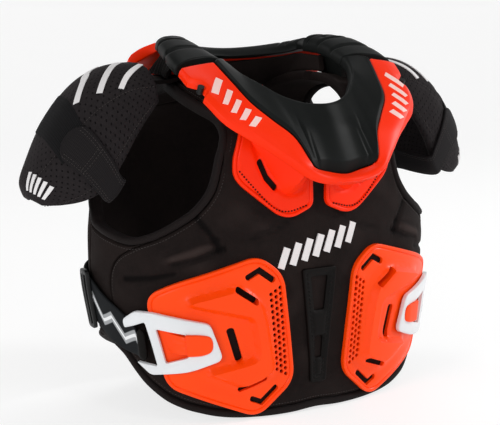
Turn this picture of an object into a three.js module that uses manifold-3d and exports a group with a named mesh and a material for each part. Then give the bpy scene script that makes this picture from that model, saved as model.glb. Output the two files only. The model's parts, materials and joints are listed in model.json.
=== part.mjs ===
import * as THREE from "three";
import { mergeVertices } from "three/addons/utils/BufferGeometryUtils.js";
import Module from "manifold-3d";

const wasm = await Module();
wasm.setup();

// Padded chest and back protector with a neck brace and shoulder pads, in millimetres.
// +Z is up, the chest faces -Y and +X is the wearer's left.
// The origin is the middle of the shoulders, at the base of the neck.

// Body of the vest
const TORSO_HALF_WIDTH = 153;
const TORSO_FRONT = 94;
const TORSO_BACK = 104;
const TORSO_SQUARENESS = 2.35;
const TORSO_BACK_SQUARENESS = 2;
const TORSO_LENGTH = 314;
const SHOULDER_ROLL = 104;
const SHOULDER_HEIGHT = 60;
const SHOULDER_SLOPE = 14;
const PANEL_THICKNESS = 8;
const PANEL_GAP = 1.3;
const SEAM_GAP = 0.9;
const BINDING_WIDTH = 6;
const BINDING_THICKNESS = 11;

// Hard plates on the chest
const PLATE_CLEARANCE = 0.7;
const PLATE_THICKNESS = 4;
const PLATE_BEVEL = 1.5;
const RIDGE_HEIGHT = 3.6;
const RIDGE_BEVEL = 2;
const PRONG_THICKNESS = 2;
const LOWER_PLATE_INSET = 24;
const LOWER_PLATE_WIDTH = 118;
const LOWER_PLATE_TOP = 183;
const LOWER_PLATE_HEIGHT = 130;
const LOWER_SLOT_WIDTH = 4.4;
const PRONG_ROOT = 9;
const HOLE_DIAMETER = 2.6;
const HOLE_PITCH = 4.7;
const UPPER_PLATE_INSET = 6;
const UPPER_PLATE_WIDTH = 72;
const UPPER_PLATE_TOP = 82;
const UPPER_PLATE_HEIGHT = 74;
const UPPER_SLOT_WIDTH = 4;
const STRUT_REACH = 36;
const CHANNEL_THICKNESS = 3;
const CHANNEL_HALF_WIDTH = 16;
const CHANNEL_TOP = 197;
const CHANNEL_LENGTH = 96;

// Buckle, side strap and strap slider
const BUCKLE_THICKNESS = 3.4;
const BUCKLE_CLEARANCE = 0.5;
const BUCKLE_WIDTH = 74;
const BUCKLE_OVERHANG = 19;
const BUCKLE_DROP = 40;
const BUCKLE_HEIGHT = 52;
const SIDE_STRAP_WIDTH = 36;
const SIDE_STRAP_THICKNESS = 2;
const SIDE_STRAP_RISE = 34;
const SIDE_STRAP_LIFT = 2.6;
const STRAP_ROLL = 5.7;
const STRAP_END_ACROSS = 278;
const SLIDER_WIDTH = 16;
const SLIDER_LENGTH = 48;
const SLIDER_THICKNESS = 3;
const SLIDER_BAR = 4;
const SLIDER_PLACE = 0.44;

// Neck brace
const BRACE_HALF_WIDTH = 100;
const BRACE_REACH = 140;
const BRACE_FALL = 80;
const BRACE_GAP = 0.35;
const YOKE_THICKNESS = 7;
const YOKE_LIP = 6;
const YOKE_CROWN = 2.5;
const COVER_THICKNESS = 9;
const COVER_CROWN = 2;
const RIM_THICKNESS = 9;

// Shoulder pads and arm straps
const PAD_REACH = 209;
const PAD_HALF_DEPTH = 48;
const PAD_DROP = 100;
const PAD_THICKNESS = 8;
const ARM_STRAP_WIDTH = 28;
const ARM_STRAP_THICKNESS = 2.2;
const ARM_STRAP_CLEARANCE = 0.8;
const ARM_LOOP_DEPTH = 6;

// Furthest that a straight edge may leave the true surface of a bent piece
const BEND_ERROR = 0.4;

// Cross-sections of the body from the shoulders down, as shares of the torso sizes
const TORSO_SECTIONS = [
  { down: -0.01, width: 0.7, front: 0.94, back: 0.9 },
  { down: 0.16, width: 0.8, front: 0.94, back: 0.92 },
  { down: 0.33, width: 0.92, front: 0.96, back: 0.9 },
  { down: 0.48, width: 0.985, front: 0.98, back: 0.84 },
  { down: 0.64, width: 1, front: 1, back: 0.8 },
  { down: 0.8, width: 0.95, front: 1, back: 0.74 },
  { down: 1.02, width: 0.89, front: 0.98, back: 0.66 },
];

const lerp = (a, b, t) => a + (b - a) * t;
const signedPower = (value, power) => Math.sign(value) * Math.abs(value) ** power;
const squareness = (angle) => (Math.cos(angle) > 0 ? TORSO_SQUARENESS : TORSO_BACK_SQUARENESS);

// Value of one column of the body's table, on a smooth curve between its rows
function sectionValue(name, at) {
  const rows = TORSO_SECTIONS;
  const last = rows.length - 1;
  let i = rows.findIndex((row) => row.down > at) - 1;
  if (i === -2) i = last - 1;
  if (i < 0) i = 0;
  const slope = (k) => {
    const before = rows[Math.max(k - 1, 0)];
    const after = rows[Math.min(k + 1, last)];
    return (after[name] - before[name]) / (after.down - before.down);
  };
  const [a, b] = [rows[i], rows[i + 1]];
  const step = b.down - a.down;
  const t = THREE.MathUtils.clamp((at - a.down) / step, 0, 1);
  const rise = t * t * (3 - 2 * t);
  const leaving = t * (1 - t) ** 2 * step * slope(i);
  const arriving = t * t * (t - 1) * step * slope(i + 1);
  return lerp(a[name], b[name], rise) + leaving + arriving;
}

// Distance round the widest section against the angle from the middle of the chest
const ARC_STEPS = 360;
const ARC = [0];
for (let i = 1; i <= ARC_STEPS; i++) {
  const [a, b] = [i - 1, i].map((k) => {
    const angle = (Math.PI * k) / ARC_STEPS;
    const depth = Math.cos(angle) > 0 ? TORSO_FRONT : TORSO_BACK;
    const x = TORSO_HALF_WIDTH * signedPower(Math.sin(angle), 2 / squareness(angle));
    return new THREE.Vector2(x, depth * signedPower(Math.cos(angle), 2 / squareness(angle)));
  });
  ARC.push(ARC[i - 1] + a.distanceTo(b));
}
const HALF_GIRTH = ARC[ARC_STEPS];

function angleAt(across) {
  const distance = THREE.MathUtils.clamp(Math.abs(across), 0, HALF_GIRTH);
  let i = 0;
  while (i < ARC_STEPS - 1 && ARC[i + 1] < distance) i++;
  const t = (distance - ARC[i]) / (ARC[i + 1] - ARC[i]);
  return (Math.sign(across) * Math.PI * (i + t)) / ARC_STEPS;
}

// Point of the vest's outer face. A distance down that is less than zero has gone
// over the shoulder to the other side of the body.
function bodyPoint(angle, down) {
  const turned = Math.sign(angle || 1) * Math.PI - angle;
  const [a, d] = down < 0 ? [turned, -down] : [angle, down];
  const share = d / TORSO_LENGTH;
  const width = TORSO_HALF_WIDTH * sectionValue("width", share);
  const front = TORSO_FRONT * sectionValue("front", share);
  const back = TORSO_BACK * sectionValue("back", share);
  const roll = (THREE.MathUtils.clamp(d / SHOULDER_ROLL, 0, 1) * Math.PI) / 2;
  const x = width * signedPower(Math.sin(a), 2 / squareness(a));
  const depth = (Math.cos(a) > 0 ? front : back) * Math.sin(roll);
  const y = -depth * signedPower(Math.cos(a), 2 / squareness(a));
  const drop = SHOULDER_HEIGHT * (1 - Math.cos(roll)) + Math.max(d - SHOULDER_ROLL, 0);
  const slope = SHOULDER_SLOPE * (x / width) ** 2 * Math.cos(roll);
  return new THREE.Vector3(x, y, -drop - slope);
}

function bodyNormal(angle, down) {
  const turn = 0.01;
  const step = 1;
  const round = bodyPoint(angle + turn, down).sub(bodyPoint(angle - turn, down));
  const along = bodyPoint(angle, down + step).sub(bodyPoint(angle, down - step));
  return along.cross(round).normalize();
}

function raised(angle, down, lift) {
  return bodyPoint(angle, down).addScaledVector(bodyNormal(angle, down), lift);
}

// Height of the vest's outer face on the shoulder, over a place seen from above
function shoulderHeight(x, y) {
  const power = (y < 0 ? TORSO_SQUARENESS : TORSO_BACK_SQUARENESS) / 2;
  const name = y < 0 ? "front" : "back";
  const full = y < 0 ? TORSO_FRONT : TORSO_BACK;
  let angle = 0;
  let down = 0;
  for (let k = 0; k < 6; k++) {
    const share = down / TORSO_LENGTH;
    const width = TORSO_HALF_WIDTH * sectionValue("width", share);
    const depth = full * sectionValue(name, share);
    angle = Math.asin(Math.min((Math.abs(x) / width) ** power, 1));
    const reach = depth * Math.cos(angle) ** (1 / power);
    down = (SHOULDER_ROLL * Math.asin(Math.min(Math.abs(y) / reach, 1))) / (Math.PI / 2);
  }
  return bodyPoint(y < 0 ? angle : Math.PI - angle, down).z;
}

// Closed meshes
function closedMesh(positions, indices) {
  const geometry = new THREE.BufferGeometry();
  geometry.setAttribute("position", new THREE.Float32BufferAttribute(positions, 3));
  geometry.setIndex(indices);
  if (signedVolume(geometry) < 0) turnInsideOut(geometry);
  return geometry;
}

function corner(geometry, k) {
  return new THREE.Vector3().fromBufferAttribute(geometry.attributes.position, geometry.index.getX(k));
}

function signedVolume(geometry) {
  let sum = 0;
  for (let k = 0; k < geometry.index.count; k += 3) {
    sum += corner(geometry, k).dot(corner(geometry, k + 1).cross(corner(geometry, k + 2)));
  }
  return sum / 6;
}

function turnInsideOut(geometry) {
  const index = geometry.index.array;
  for (let k = 0; k < index.length; k += 3) [index[k], index[k + 1]] = [index[k + 1], index[k]];
  return geometry;
}

// Solid between two grids of points with the same rows and columns,
// and diagonals that lean the other way in the second half, so mirrored grids match
function slab(outer, inner) {
  const columns = outer.length;
  const rows = outer[0].length;
  const positions = [...outer.flat(), ...inner.flat()].flatMap((p) => p.toArray());
  const at = (side, i, j) => side * columns * rows + i * rows + j;
  const indices = [];
  const quad = (a, b, c, d) => indices.push(a, b, c, a, c, d);
  for (let i = 0; i < columns - 1; i++) {
    const [near, far] = i < (columns - 1) / 2 ? [i, i + 1] : [i + 1, i];
    const face = near < far ? quad : (a, b, c, d) => quad(a, d, c, b);
    for (let j = 0; j < rows - 1; j++) {
      face(at(0, near, j), at(0, near, j + 1), at(0, far, j + 1), at(0, far, j));
      face(at(1, near, j), at(1, far, j), at(1, far, j + 1), at(1, near, j + 1));
    }
    face(at(0, near, 0), at(0, far, 0), at(1, far, 0), at(1, near, 0));
    face(at(0, far, rows - 1), at(0, near, rows - 1), at(1, near, rows - 1), at(1, far, rows - 1));
  }
  for (let j = 0; j < rows - 1; j++) {
    quad(at(0, 0, j + 1), at(0, 0, j), at(1, 0, j), at(1, 0, j + 1));
    quad(at(0, columns - 1, j), at(0, columns - 1, j + 1), at(1, columns - 1, j + 1), at(1, columns - 1, j));
  }
  return closedMesh(positions, indices);
}

// Solid through a row of sections, each a ring of points, closed on itself or capped
function loft(sections, closed) {
  const sides = sections[0].length;
  const positions = sections.flat().flatMap((p) => p.toArray());
  const indices = [];
  const count = sections.length;
  for (let i = 0; i < (closed ? count : count - 1); i++) {
    const next = (i + 1) % count;
    for (let j = 0; j < sides; j++) {
      const k = (j + 1) % sides;
      indices.push(i * sides + j, next * sides + j, next * sides + k);
      indices.push(i * sides + j, next * sides + k, i * sides + k);
    }
  }
  if (!closed) {
    const end = (count - 1) * sides;
    for (let j = 1; j < sides - 1; j++) {
      indices.push(0, j, j + 1);
      indices.push(end, end + j + 1, end + j);
    }
  }
  return closedMesh(positions, indices);
}

function mirrored(geometry) {
  return turnInsideOut(geometry.clone().scale(-1, 1, 1));
}

// Joining and cutting
function solidOf(geometry) {
  const bare = geometry.clone();
  bare.deleteAttribute("normal");
  bare.deleteAttribute("uv");
  const merged = mergeVertices(bare, 1e-4);
  const vertProperties = new Float32Array(merged.attributes.position.array);
  const triVerts = new Uint32Array(merged.index.array);
  return new wasm.Manifold(new wasm.Mesh({ numProp: 3, vertProperties, triVerts }));
}

function meshOf(solid) {
  const mesh = solid.getMesh();
  const geometry = new THREE.BufferGeometry();
  geometry.setAttribute("position", new THREE.Float32BufferAttribute(mesh.vertProperties, 3));
  geometry.setIndex([...mesh.triVerts]);
  return geometry;
}

function cut(geometry, ...tools) {
  return meshOf(tools.reduce((rest, tool) => rest.subtract(solidOf(tool)), solidOf(geometry)));
}

function join(geometry, ...others) {
  return meshOf(others.reduce((sum, other) => sum.add(solidOf(other)), solidOf(geometry)));
}

// Flat patterns lie in x, the distance round the body, and y, the distance up it,
// with their height along z. Bending wraps them on the body.
function bent(geometry) {
  const points = [];
  for (let k = 0; k < geometry.attributes.position.count; k++) {
    points.push(new THREE.Vector3().fromBufferAttribute(geometry.attributes.position, k));
  }
  const wrapped = points.map(wrap);
  let faces = [];
  for (let k = 0; k < geometry.index.count; k += 3) {
    faces.push([0, 1, 2].map((side) => geometry.index.getX(k + side)));
  }
  let split = true;
  while (split) {
    split = false;
    const middles = new Map();
    const middle = (a, b) => {
      const key = Math.min(a, b) + "/" + Math.max(a, b);
      if (middles.has(key)) return middles.get(key);
      const flat = points[a].clone().lerp(points[b], 0.5);
      const place = wrap(flat);
      const straight = wrapped[a].clone().lerp(wrapped[b], 0.5);
      if (straight.distanceTo(place) <= BEND_ERROR) {
        middles.set(key, -1);
        return -1;
      }
      middles.set(key, points.length);
      points.push(flat);
      wrapped.push(place);
      return points.length - 1;
    };
    const next = [];
    for (const [a, b, c] of faces) {
      const mids = [middle(a, b), middle(b, c), middle(c, a)];
      const found = mids.filter((m) => m >= 0).length;
      if (found === 0) {
        next.push([a, b, c]);
        continue;
      }
      split = true;
      const [ab, bc, ca] = mids;
      if (found === 3) next.push([a, ab, ca], [ab, b, bc], [ca, bc, c], [ab, bc, ca]);
      else if (found === 1) {
        if (ab >= 0) next.push([a, ab, c], [ab, b, c]);
        else if (bc >= 0) next.push([b, bc, a], [bc, c, a]);
        else next.push([c, ca, b], [ca, a, b]);
      } else if (ab < 0) next.push([c, ca, bc], [ca, a, bc], [a, b, bc]);
      else if (bc < 0) next.push([a, ab, ca], [ab, b, ca], [b, c, ca]);
      else next.push([b, bc, ab], [bc, c, ab], [c, a, ab]);
    }
    faces = next;
  }
  return closedMesh(wrapped.flatMap((p) => p.toArray()), faces.flat());
}

const wrap = (flat) => raised(angleAt(flat.x), -flat.y, flat.z);

// Outline with rounded corners: each corner row gives its place and the length rounded off
const CORNER_STEPS = 2;
const CORNER_SHARE = 0.42;
function roundedOutline(corners) {
  const points = corners.flatMap((row, i) => {
    const before = corners[(i + corners.length - 1) % corners.length];
    const after = corners[(i + 1) % corners.length];
    const here = new THREE.Vector2(row.x, row.y);
    const [inward, outward] = [before, after].map((other) => {
      const edge = new THREE.Vector2(other.x, other.y).sub(here);
      return edge.setLength(Math.min(row.round, CORNER_SHARE * edge.length())).add(here);
    });
    if (row.round === 0) return [here];
    return new THREE.QuadraticBezierCurve(inward, here, outward).getPoints(CORNER_STEPS);
  });
  return new THREE.Shape(points);
}

function flatBar(shape, low, high, bevel) {
  const geometry = new THREE.ExtrudeGeometry(shape, {
    depth: high - low - bevel,
    bevelEnabled: bevel > 0,
    bevelThickness: bevel,
    bevelSize: bevel,
    bevelOffset: -bevel,
    bevelSegments: 1,
  });
  geometry.translate(0, 0, low);
  const position = geometry.attributes.position;
  for (let k = 0; k < position.count; k++) position.setZ(k, Math.max(position.getZ(k), low));
  return geometry;
}

// Band of even or changing width along a flat path
function flatBand(path) {
  const left = [];
  const right = [];
  path.forEach((row, i) => {
    const before = path[Math.max(i - 1, 0)];
    const after = path[Math.min(i + 1, path.length - 1)];
    const inLength = new THREE.Vector2(row.x - before.x, row.y - before.y).normalize();
    const outLength = new THREE.Vector2(after.x - row.x, after.y - row.y).normalize();
    const along = inLength.clone().add(outLength).normalize();
    const side = new THREE.Vector2(-along.y, along.x);
    const turn = Math.max(side.dot(new THREE.Vector2(-outLength.y, outLength.x)), 0.5);
    const half = (i === path.length - 1 ? row.half : row.half / turn) || row.half;
    left.push(new THREE.Vector2(row.x, row.y).addScaledVector(side, half));
    right.unshift(new THREE.Vector2(row.x, row.y).addScaledVector(side, -half));
  });
  return new THREE.Shape([...left, ...right]);
}

function circle(x, y, diameter, sides) {
  const points = [];
  for (let k = 0; k < sides; k++) {
    const turn = (2 * Math.PI * k) / sides;
    points.push(new THREE.Vector2(x + (diameter / 2) * Math.cos(turn), y + (diameter / 2) * Math.sin(turn)));
  }
  return new THREE.Path(points);
}

// Edges of the vest's panels. Rows hold a distance round the body, as a share of the
// torso's half width from the middle of the chest or of the back, and a distance
// down it, as a share of the torso's length.
function place(row) {
  const front = angleAt(row.across * TORSO_HALF_WIDTH);
  const angle = row.behind ? Math.sign(front || 1) * Math.PI - front : front;
  return { angle, down: row.down * TORSO_LENGTH };
}

const behind = (across, down) => ({ across, down, behind: true });

const ARMHOLE = [
  { across: 0.83, down: 0.04 },
  { across: 0.78, down: 0.12 },
  { across: 0.69, down: 0.175 },
  { across: 0.6, down: 0.215, meets: "front_panel" },
  { across: 0.565, down: 0.26 },
  { across: 0.565, down: 0.3 },
  { across: 0.575, down: 0.34 },
  { across: 0.6, down: 0.415 },
  { across: 0.67, down: 0.465 },
  { across: 0.77, down: 0.5 },
  { across: 0.89, down: 0.53, meets: "front_seam" },
  { across: 1.01, down: 0.545 },
  { across: 1.15, down: 0.535 },
  { across: 1.29, down: 0.52 },
  { ...behind(1.29, 0.5), meets: "back_seam" },
  behind(1.12, 0.455),
  behind(0.96, 0.385),
  behind(0.83, 0.3),
  { ...behind(0.75, 0.21), meets: "back_panel" },
  behind(0.76, 0.12),
  behind(0.8, 0.04),
];
const armholeMark = (name) => ARMHOLE.findIndex((row) => row.meets === name);

// The same place on the body, seen from the other side of the shoulder
function sameSide(row, other) {
  const turn = other.angle - row.angle;
  if (Math.abs(turn) < 1) return other;
  if (Math.abs(turn) > 4) return { angle: other.angle - Math.sign(turn) * 2 * Math.PI, down: other.down };
  return { angle: Math.PI - other.angle, down: -other.down };
}

// Place beside a row of an edge, at a true distance across the body's surface
function beside(rows, i, distance) {
  const row = rows[i];
  const before = sameSide(row, rows[(i + rows.length - 1) % rows.length]);
  const after = sameSide(row, rows[(i + 1) % rows.length]);
  const turn = 0.01;
  const round = bodyPoint(row.angle + turn, row.down).sub(bodyPoint(row.angle - turn, row.down));
  round.divideScalar(2 * turn);
  const along = bodyPoint(row.angle, row.down + 1).sub(bodyPoint(row.angle, row.down - 1));
  along.divideScalar(2);
  const edge = round.clone().multiplyScalar(after.angle - before.angle);
  edge.addScaledVector(along, after.down - before.down);
  const aside = edge.cross(along.clone().cross(round)).setLength(distance);
  const skew = round.dot(along);
  const scale = round.lengthSq() * along.lengthSq() - skew ** 2;
  const byRound = aside.dot(round);
  const byAlong = aside.dot(along);
  return {
    angle: row.angle + (byRound * along.lengthSq() - byAlong * skew) / scale,
    down: row.down + (byAlong * round.lengthSq() - byRound * skew) / scale,
  };
}

const armhole = ARMHOLE.map(place);
const panelOffset = BINDING_WIDTH / 2 + PANEL_GAP;
const armholeEdge = armhole.map((row, i) => beside(armhole, i, panelOffset));
const armholeBetween = (first, last) => armholeEdge.slice(armholeMark(first), armholeMark(last) + 1);

// Seams between the panels at the sides, from the armhole down
const FRONT_SEAM_ROWS = [
  { across: 1.0, down: 0.563 },
  { across: 1.09, down: 0.59 },
  { across: 1.14, down: 0.63 },
  { across: 1.155, down: 0.69 },
  { across: 1.13, down: 0.76 },
  { across: 1.09, down: 0.835 },
].map(place);

const BACK_SEAM_ROWS = [
  behind(1.27, 0.56),
  behind(1.25, 0.63),
  behind(1.25, 0.71),
  behind(1.25, 0.8),
].map(place);

// Neck side of the shoulder strap, from the chest over the shoulder to the back
const STRAP_INNER = [
  { across: 0.36, down: 0.193 },
  { across: 0.42, down: 0.12 },
  { across: 0.47, down: 0.05 },
  { across: 0.49, down: 0 },
  { across: 0.47, down: -0.05 },
  { across: 0.42, down: -0.12 },
  { across: 0.36, down: -0.193 },
].map(place);

// Lower edge of the vest
const FRONT_HEM = [
  { across: 0, down: 0.978 },
  { across: 0.16, down: 0.982 },
  { across: 0.32, down: 0.982 },
  { across: 0.48, down: 0.979 },
  { across: 0.6, down: 0.973 },
  { across: 0.7, down: 0.963 },
  { across: 0.78, down: 0.953 },
  { across: 0.86, down: 0.938 },
  { across: 0.92, down: 0.92 },
  { across: 0.98, down: 0.897 },
  { across: 1.03, down: 0.87 },
].map(place);
const SIDE_HEM = [
  { across: 1.13, down: 0.82 },
  { across: 1.22, down: 0.8 },
  { across: 1.34, down: 0.79 },
  behind(1.25, 0.8),
].map(place);
const BACK_HEM = [
  behind(1.12, 0.815),
  behind(0.98, 0.845),
  behind(0.82, 0.88),
  behind(0.62, 0.91),
  behind(0.4, 0.93),
  behind(0.2, 0.94),
  behind(0, 0.94),
].map(place);

function mixed(a, b, t) {
  const other = sameSide(a, b);
  return { angle: lerp(a.angle, other.angle, t), down: lerp(a.down, other.down, t) };
}

function resampled(rows, count) {
  const curve = new THREE.CatmullRomCurve3(
    rows.map((row) => new THREE.Vector3(row.angle * TORSO_HALF_WIDTH, row.down, 0)),
  );
  return Array.from({ length: count }, (_, k) => {
    const point = curve.getPoint(k / (count - 1));
    return { angle: point.x / TORSO_HALF_WIDTH, down: point.y };
  });
}

// Share of an edge's length at each of its rows
function lengthShares(rows) {
  const sums = [0];
  rows.slice(1).forEach((row, i) => {
    const step = Math.hypot((row.angle - rows[i].angle) * TORSO_HALF_WIDTH, row.down - rows[i].down);
    sums.push(sums[i] + step);
  });
  return sums.map((sum) => sum / sums.at(-1));
}

const flip = (row) => ({ angle: -row.angle, down: row.down });
const bothSides = (rows) => [...rows.slice(1).reverse().map(flip), ...rows];

// Padded panel between an upper and a lower edge, with its rows closer near the shoulder
const LONG_ROWS = [0, 0.07, 0.16, 0.3, 0.48, 0.66, 0.83, 1];
const SHORT_ROWS = [0, 0.5, 1];

function panel(upper, lower, shares) {
  const grid = (lift) =>
    upper.map((top, i) =>
      shares.map((share) => {
        const row = mixed(top, lower[i], share);
        return raised(row.angle, row.down, lift);
      }),
    );
  return slab(grid(0), grid(-PANEL_THICKNESS));
}

function frontPanel() {
  const neck = [0, 0.17, 0.34, 0.47].map((across) => place({ across, down: 0.2 }));
  const upper = [...neck, ...armholeBetween("front_panel", "front_seam"), ...FRONT_SEAM_ROWS];
  const lower = resampled(FRONT_HEM, upper.length);
  return panel(bothSides(upper), bothSides(lower), LONG_ROWS);
}

function hemPlace(rows, lift) {
  return rows.map((row) => raised(row.angle, row.down, lift));
}

// Rings of points for an edge binding, square to its path and to the body's surface
function bindingSections(rows, closed) {
  const sections = [];
  const points = hemPlace(rows, 0);
  rows.forEach((row, i) => {
    const last = rows.length - 1;
    const before = points[closed ? (i + last) % rows.length : Math.max(i - 1, 0)];
    const after = points[closed ? (i + 1) % rows.length : Math.min(i + 1, last)];
    const along = after.clone().sub(before).normalize();
    const out = bodyNormal(row.angle, row.down);
    out.addScaledVector(along, -out.dot(along)).normalize();
    const side = along.clone().cross(out);
    const middle = -PANEL_THICKNESS / 2;
    const ring = [
      [-0.5, 0.32],
      [0, 0.5],
      [0.5, 0.32],
      [0.5, -0.32],
      [0, -0.5],
      [-0.5, -0.32],
    ].map(([across, height]) =>
      points[i]
        .clone()
        .addScaledVector(side, across * BINDING_WIDTH)
        .addScaledVector(out, middle + height * BINDING_THICKNESS),
    );
    sections.push(ring);
  });
  return loft(sections, closed);
}

// Shapes drawn in a frame of their own: shares of a width round the body and a height down it
function framed(inset, top, width, height) {
  return (row) => ({ ...row, x: inset + row.a * width, y: -(top + row.b * height) });
}

const BACK_NECK = [
  behind(0, 0.12),
  behind(0.16, 0.125),
  behind(0.3, 0.15),
  behind(0.33, 0.2),
  behind(0.5, 0.203),
].map(place);

function backPanel() {
  const armholeRows = armholeBetween("back_seam", "back_panel").reverse();
  const upper = [...BACK_NECK, ...armholeRows, ...BACK_SEAM_ROWS];
  const lower = resampled([...BACK_HEM].reverse(), upper.length);
  return panel(bothSides(upper), bothSides(lower), LONG_ROWS);
}

// Panel under the arm, spread between four edges
function sidePanel() {
  const top = armholeBetween("front_seam", "back_seam");
  const left = openOffset([top[0], ...FRONT_SEAM_ROWS], -SEAM_GAP);
  const right = resampled(openOffset([top.at(-1), ...BACK_SEAM_ROWS], SEAM_GAP), left.length);
  const upper = [left[0], ...top.slice(1, -1), right[0]];
  const lower = [left.at(-1), ...SIDE_HEM.slice(0, -1), right.at(-1)];
  const [upperShares, lowerShares, leftShares] = [upper, lower, left].map(lengthShares);
  const spread = upper.map((high, i) => {
    const u = lerp(upperShares[i], lowerShares[i], 0.5);
    return left.map((near, j) => {
      const v = leftShares[j];
      const value = (key) => {
        const corners = lerp(lerp(upper[0][key], upper.at(-1)[key], u), lerp(lower[0][key], lower.at(-1)[key], u), v);
        return lerp(high[key], lower[i][key], v) + lerp(near[key], right[j][key], u) - corners;
      };
      return { angle: value("angle"), down: value("down") };
    });
  });
  const grid = (lift) => spread.map((line) => line.map((row) => raised(row.angle, row.down, lift)));
  return slab(grid(0), grid(-PANEL_THICKNESS));
}

function openOffset(rows, distance) {
  const longer = [mixed(rows[0], rows[1], -1), ...rows, mixed(rows.at(-1), rows.at(-2), -1)];
  return rows.map((row, i) => beside(longer, i + 1, distance));
}

// Strap over the shoulder, from the front panel to the back panel
function shoulderStrap() {
  const front = armholeMark("front_panel");
  const count = front + ARMHOLE.length - armholeMark("back_panel") + 1;
  const outer = Array.from({ length: count }, (_, k) => armholeEdge.at(front - k));
  outer[0] = mixed(outer[0], outer[1], 0.12);
  outer[count - 1] = mixed(outer[count - 1], outer[count - 2], 0.12);
  const inner = resampled(STRAP_INNER, count);
  return panel(outer, inner, SHORT_ROWS);
}

function hemBinding() {
  const half = [...FRONT_HEM, FRONT_SEAM_ROWS.at(-1), ...SIDE_HEM, ...BACK_HEM];
  const loop = [...half, ...half.slice(1, -1).reverse().map(flip)];
  return bindingSections(
    loop.map((row, i) => beside(loop, i, BINDING_WIDTH / 2 + PANEL_GAP)),
    true,
  );
}

// Moulded channel down the middle of the chest, with two windows
function centreChannel() {
  const frame = framed(0, CHANNEL_TOP, CHANNEL_HALF_WIDTH, CHANNEL_LENGTH);
  const half = [
    { a: 1, b: 0, round: 3 },
    { a: 0.56, b: 0.78, round: 3 },
    { a: 0.5, b: 0.98, round: 3 },
  ];
  const outline = [...half, ...[...half].reverse().map((row) => ({ ...row, a: -row.a }))];
  const shape = roundedOutline(outline.map(frame));
  const windows = [
    { low: 0.36, top: 0.07, high: 0.3, bottom: 0.36, wide: 0.5 },
    { low: 0.22, top: 0.58, high: 0.2, bottom: 0.77, wide: 0.25 },
  ];
  shape.holes = windows.map((row) =>
    roundedOutline(
      [
        { a: -row.wide, b: row.top, round: 1.5 },
        { a: -row.high, b: row.bottom, round: 1.5 },
        { a: row.high, b: row.bottom, round: 1.5 },
        { a: row.wide, b: row.top, round: 1.5 },
      ].map(frame),
    ),
  );
  return bent(solidToGeometry(flatBar(shape, PLATE_CLEARANCE, PLATE_CLEARANCE + CHANNEL_THICKNESS, 0)));
}

function solidToGeometry(geometry) {
  return meshOf(solidOf(geometry));
}

const PLATE_TOP = PLATE_CLEARANCE + PLATE_THICKNESS;
const RIDGE_TOP = PLATE_TOP + RIDGE_HEIGHT;
const BUCKLE_BASE = PLATE_TOP + BUCKLE_CLEARANCE;
const BUCKLE_FACE = BUCKLE_BASE + BUCKLE_THICKNESS;
const TOOL_REACH = 30;

// The buckle hangs over the plate's outer edge, and its strap runs on from its hook
const BUCKLE_INSET = LOWER_PLATE_INSET + LOWER_PLATE_WIDTH + BUCKLE_OVERHANG - BUCKLE_WIDTH;
const BUCKLE_TOP = LOWER_PLATE_TOP + BUCKLE_DROP;
const BUCKLE_MIDDLE = BUCKLE_TOP + BUCKLE_HEIGHT / 2;
const HOOK_ACROSS = BUCKLE_INSET + BUCKLE_WIDTH * 0.84;

// Hard plate over the ribs, with a folded ridge, slots, a perforated strip and a prong
const LOWER_OUTLINE = [
  { a: 0.25, b: -0.01, round: 14 },
  { a: 0.07, b: 0.13, round: 13 },
  { a: 0, b: 0.79, round: 15 },
  { a: 0.3, b: 1.01, round: 15 },
  { a: 0.94, b: 0.8, round: 14 },
  { a: 0.98, b: 0.58, round: 10 },
  { a: 1.01, b: 0.22, round: 14 },
  { a: 0.8, b: 0.135, round: 10 },
];
const LOWER_RIDGE = [
  { a: 0.76, b: 0.245, half: 4 },
  { a: 0.55, b: 0.225, half: 7 },
  { a: 0.33, b: 0.215, half: 8 },
  { a: 0.26, b: 0.31, half: 8 },
  { a: 0.245, b: 0.66, half: 8 },
  { a: 0.33, b: 0.755, half: 7 },
  { a: 0.62, b: 0.775, half: 4 },
];
const LOWER_SLOTS = [
  [
    { a: 0.33, b: 0.125 },
    { a: 0.25, b: 0.08 },
    { a: 0.155, b: 0.15 },
  ],
  [
    { a: 0.42, b: 0.175 },
    { a: 0.29, b: 0.27 },
  ],
  [
    { a: 0.475, b: 0.43 },
    { a: 0.425, b: 0.625 },
  ],
  [
    { a: 0.43, b: 0.81 },
    { a: 0.24, b: 0.75 },
  ],
  [
    { a: 0.34, b: 0.88 },
    { a: 0.27, b: 0.905 },
    { a: 0.155, b: 0.82 },
  ],
];
const HOLE_COLUMNS = [
  { a: 0.105, aEnd: 0.075, b: 0.2, count: 16 },
  { a: 0.137, aEnd: 0.108, b: 0.219, count: 15 },
  { a: 0.17, aEnd: 0.143, b: 0.238, count: 14 },
];

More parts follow.
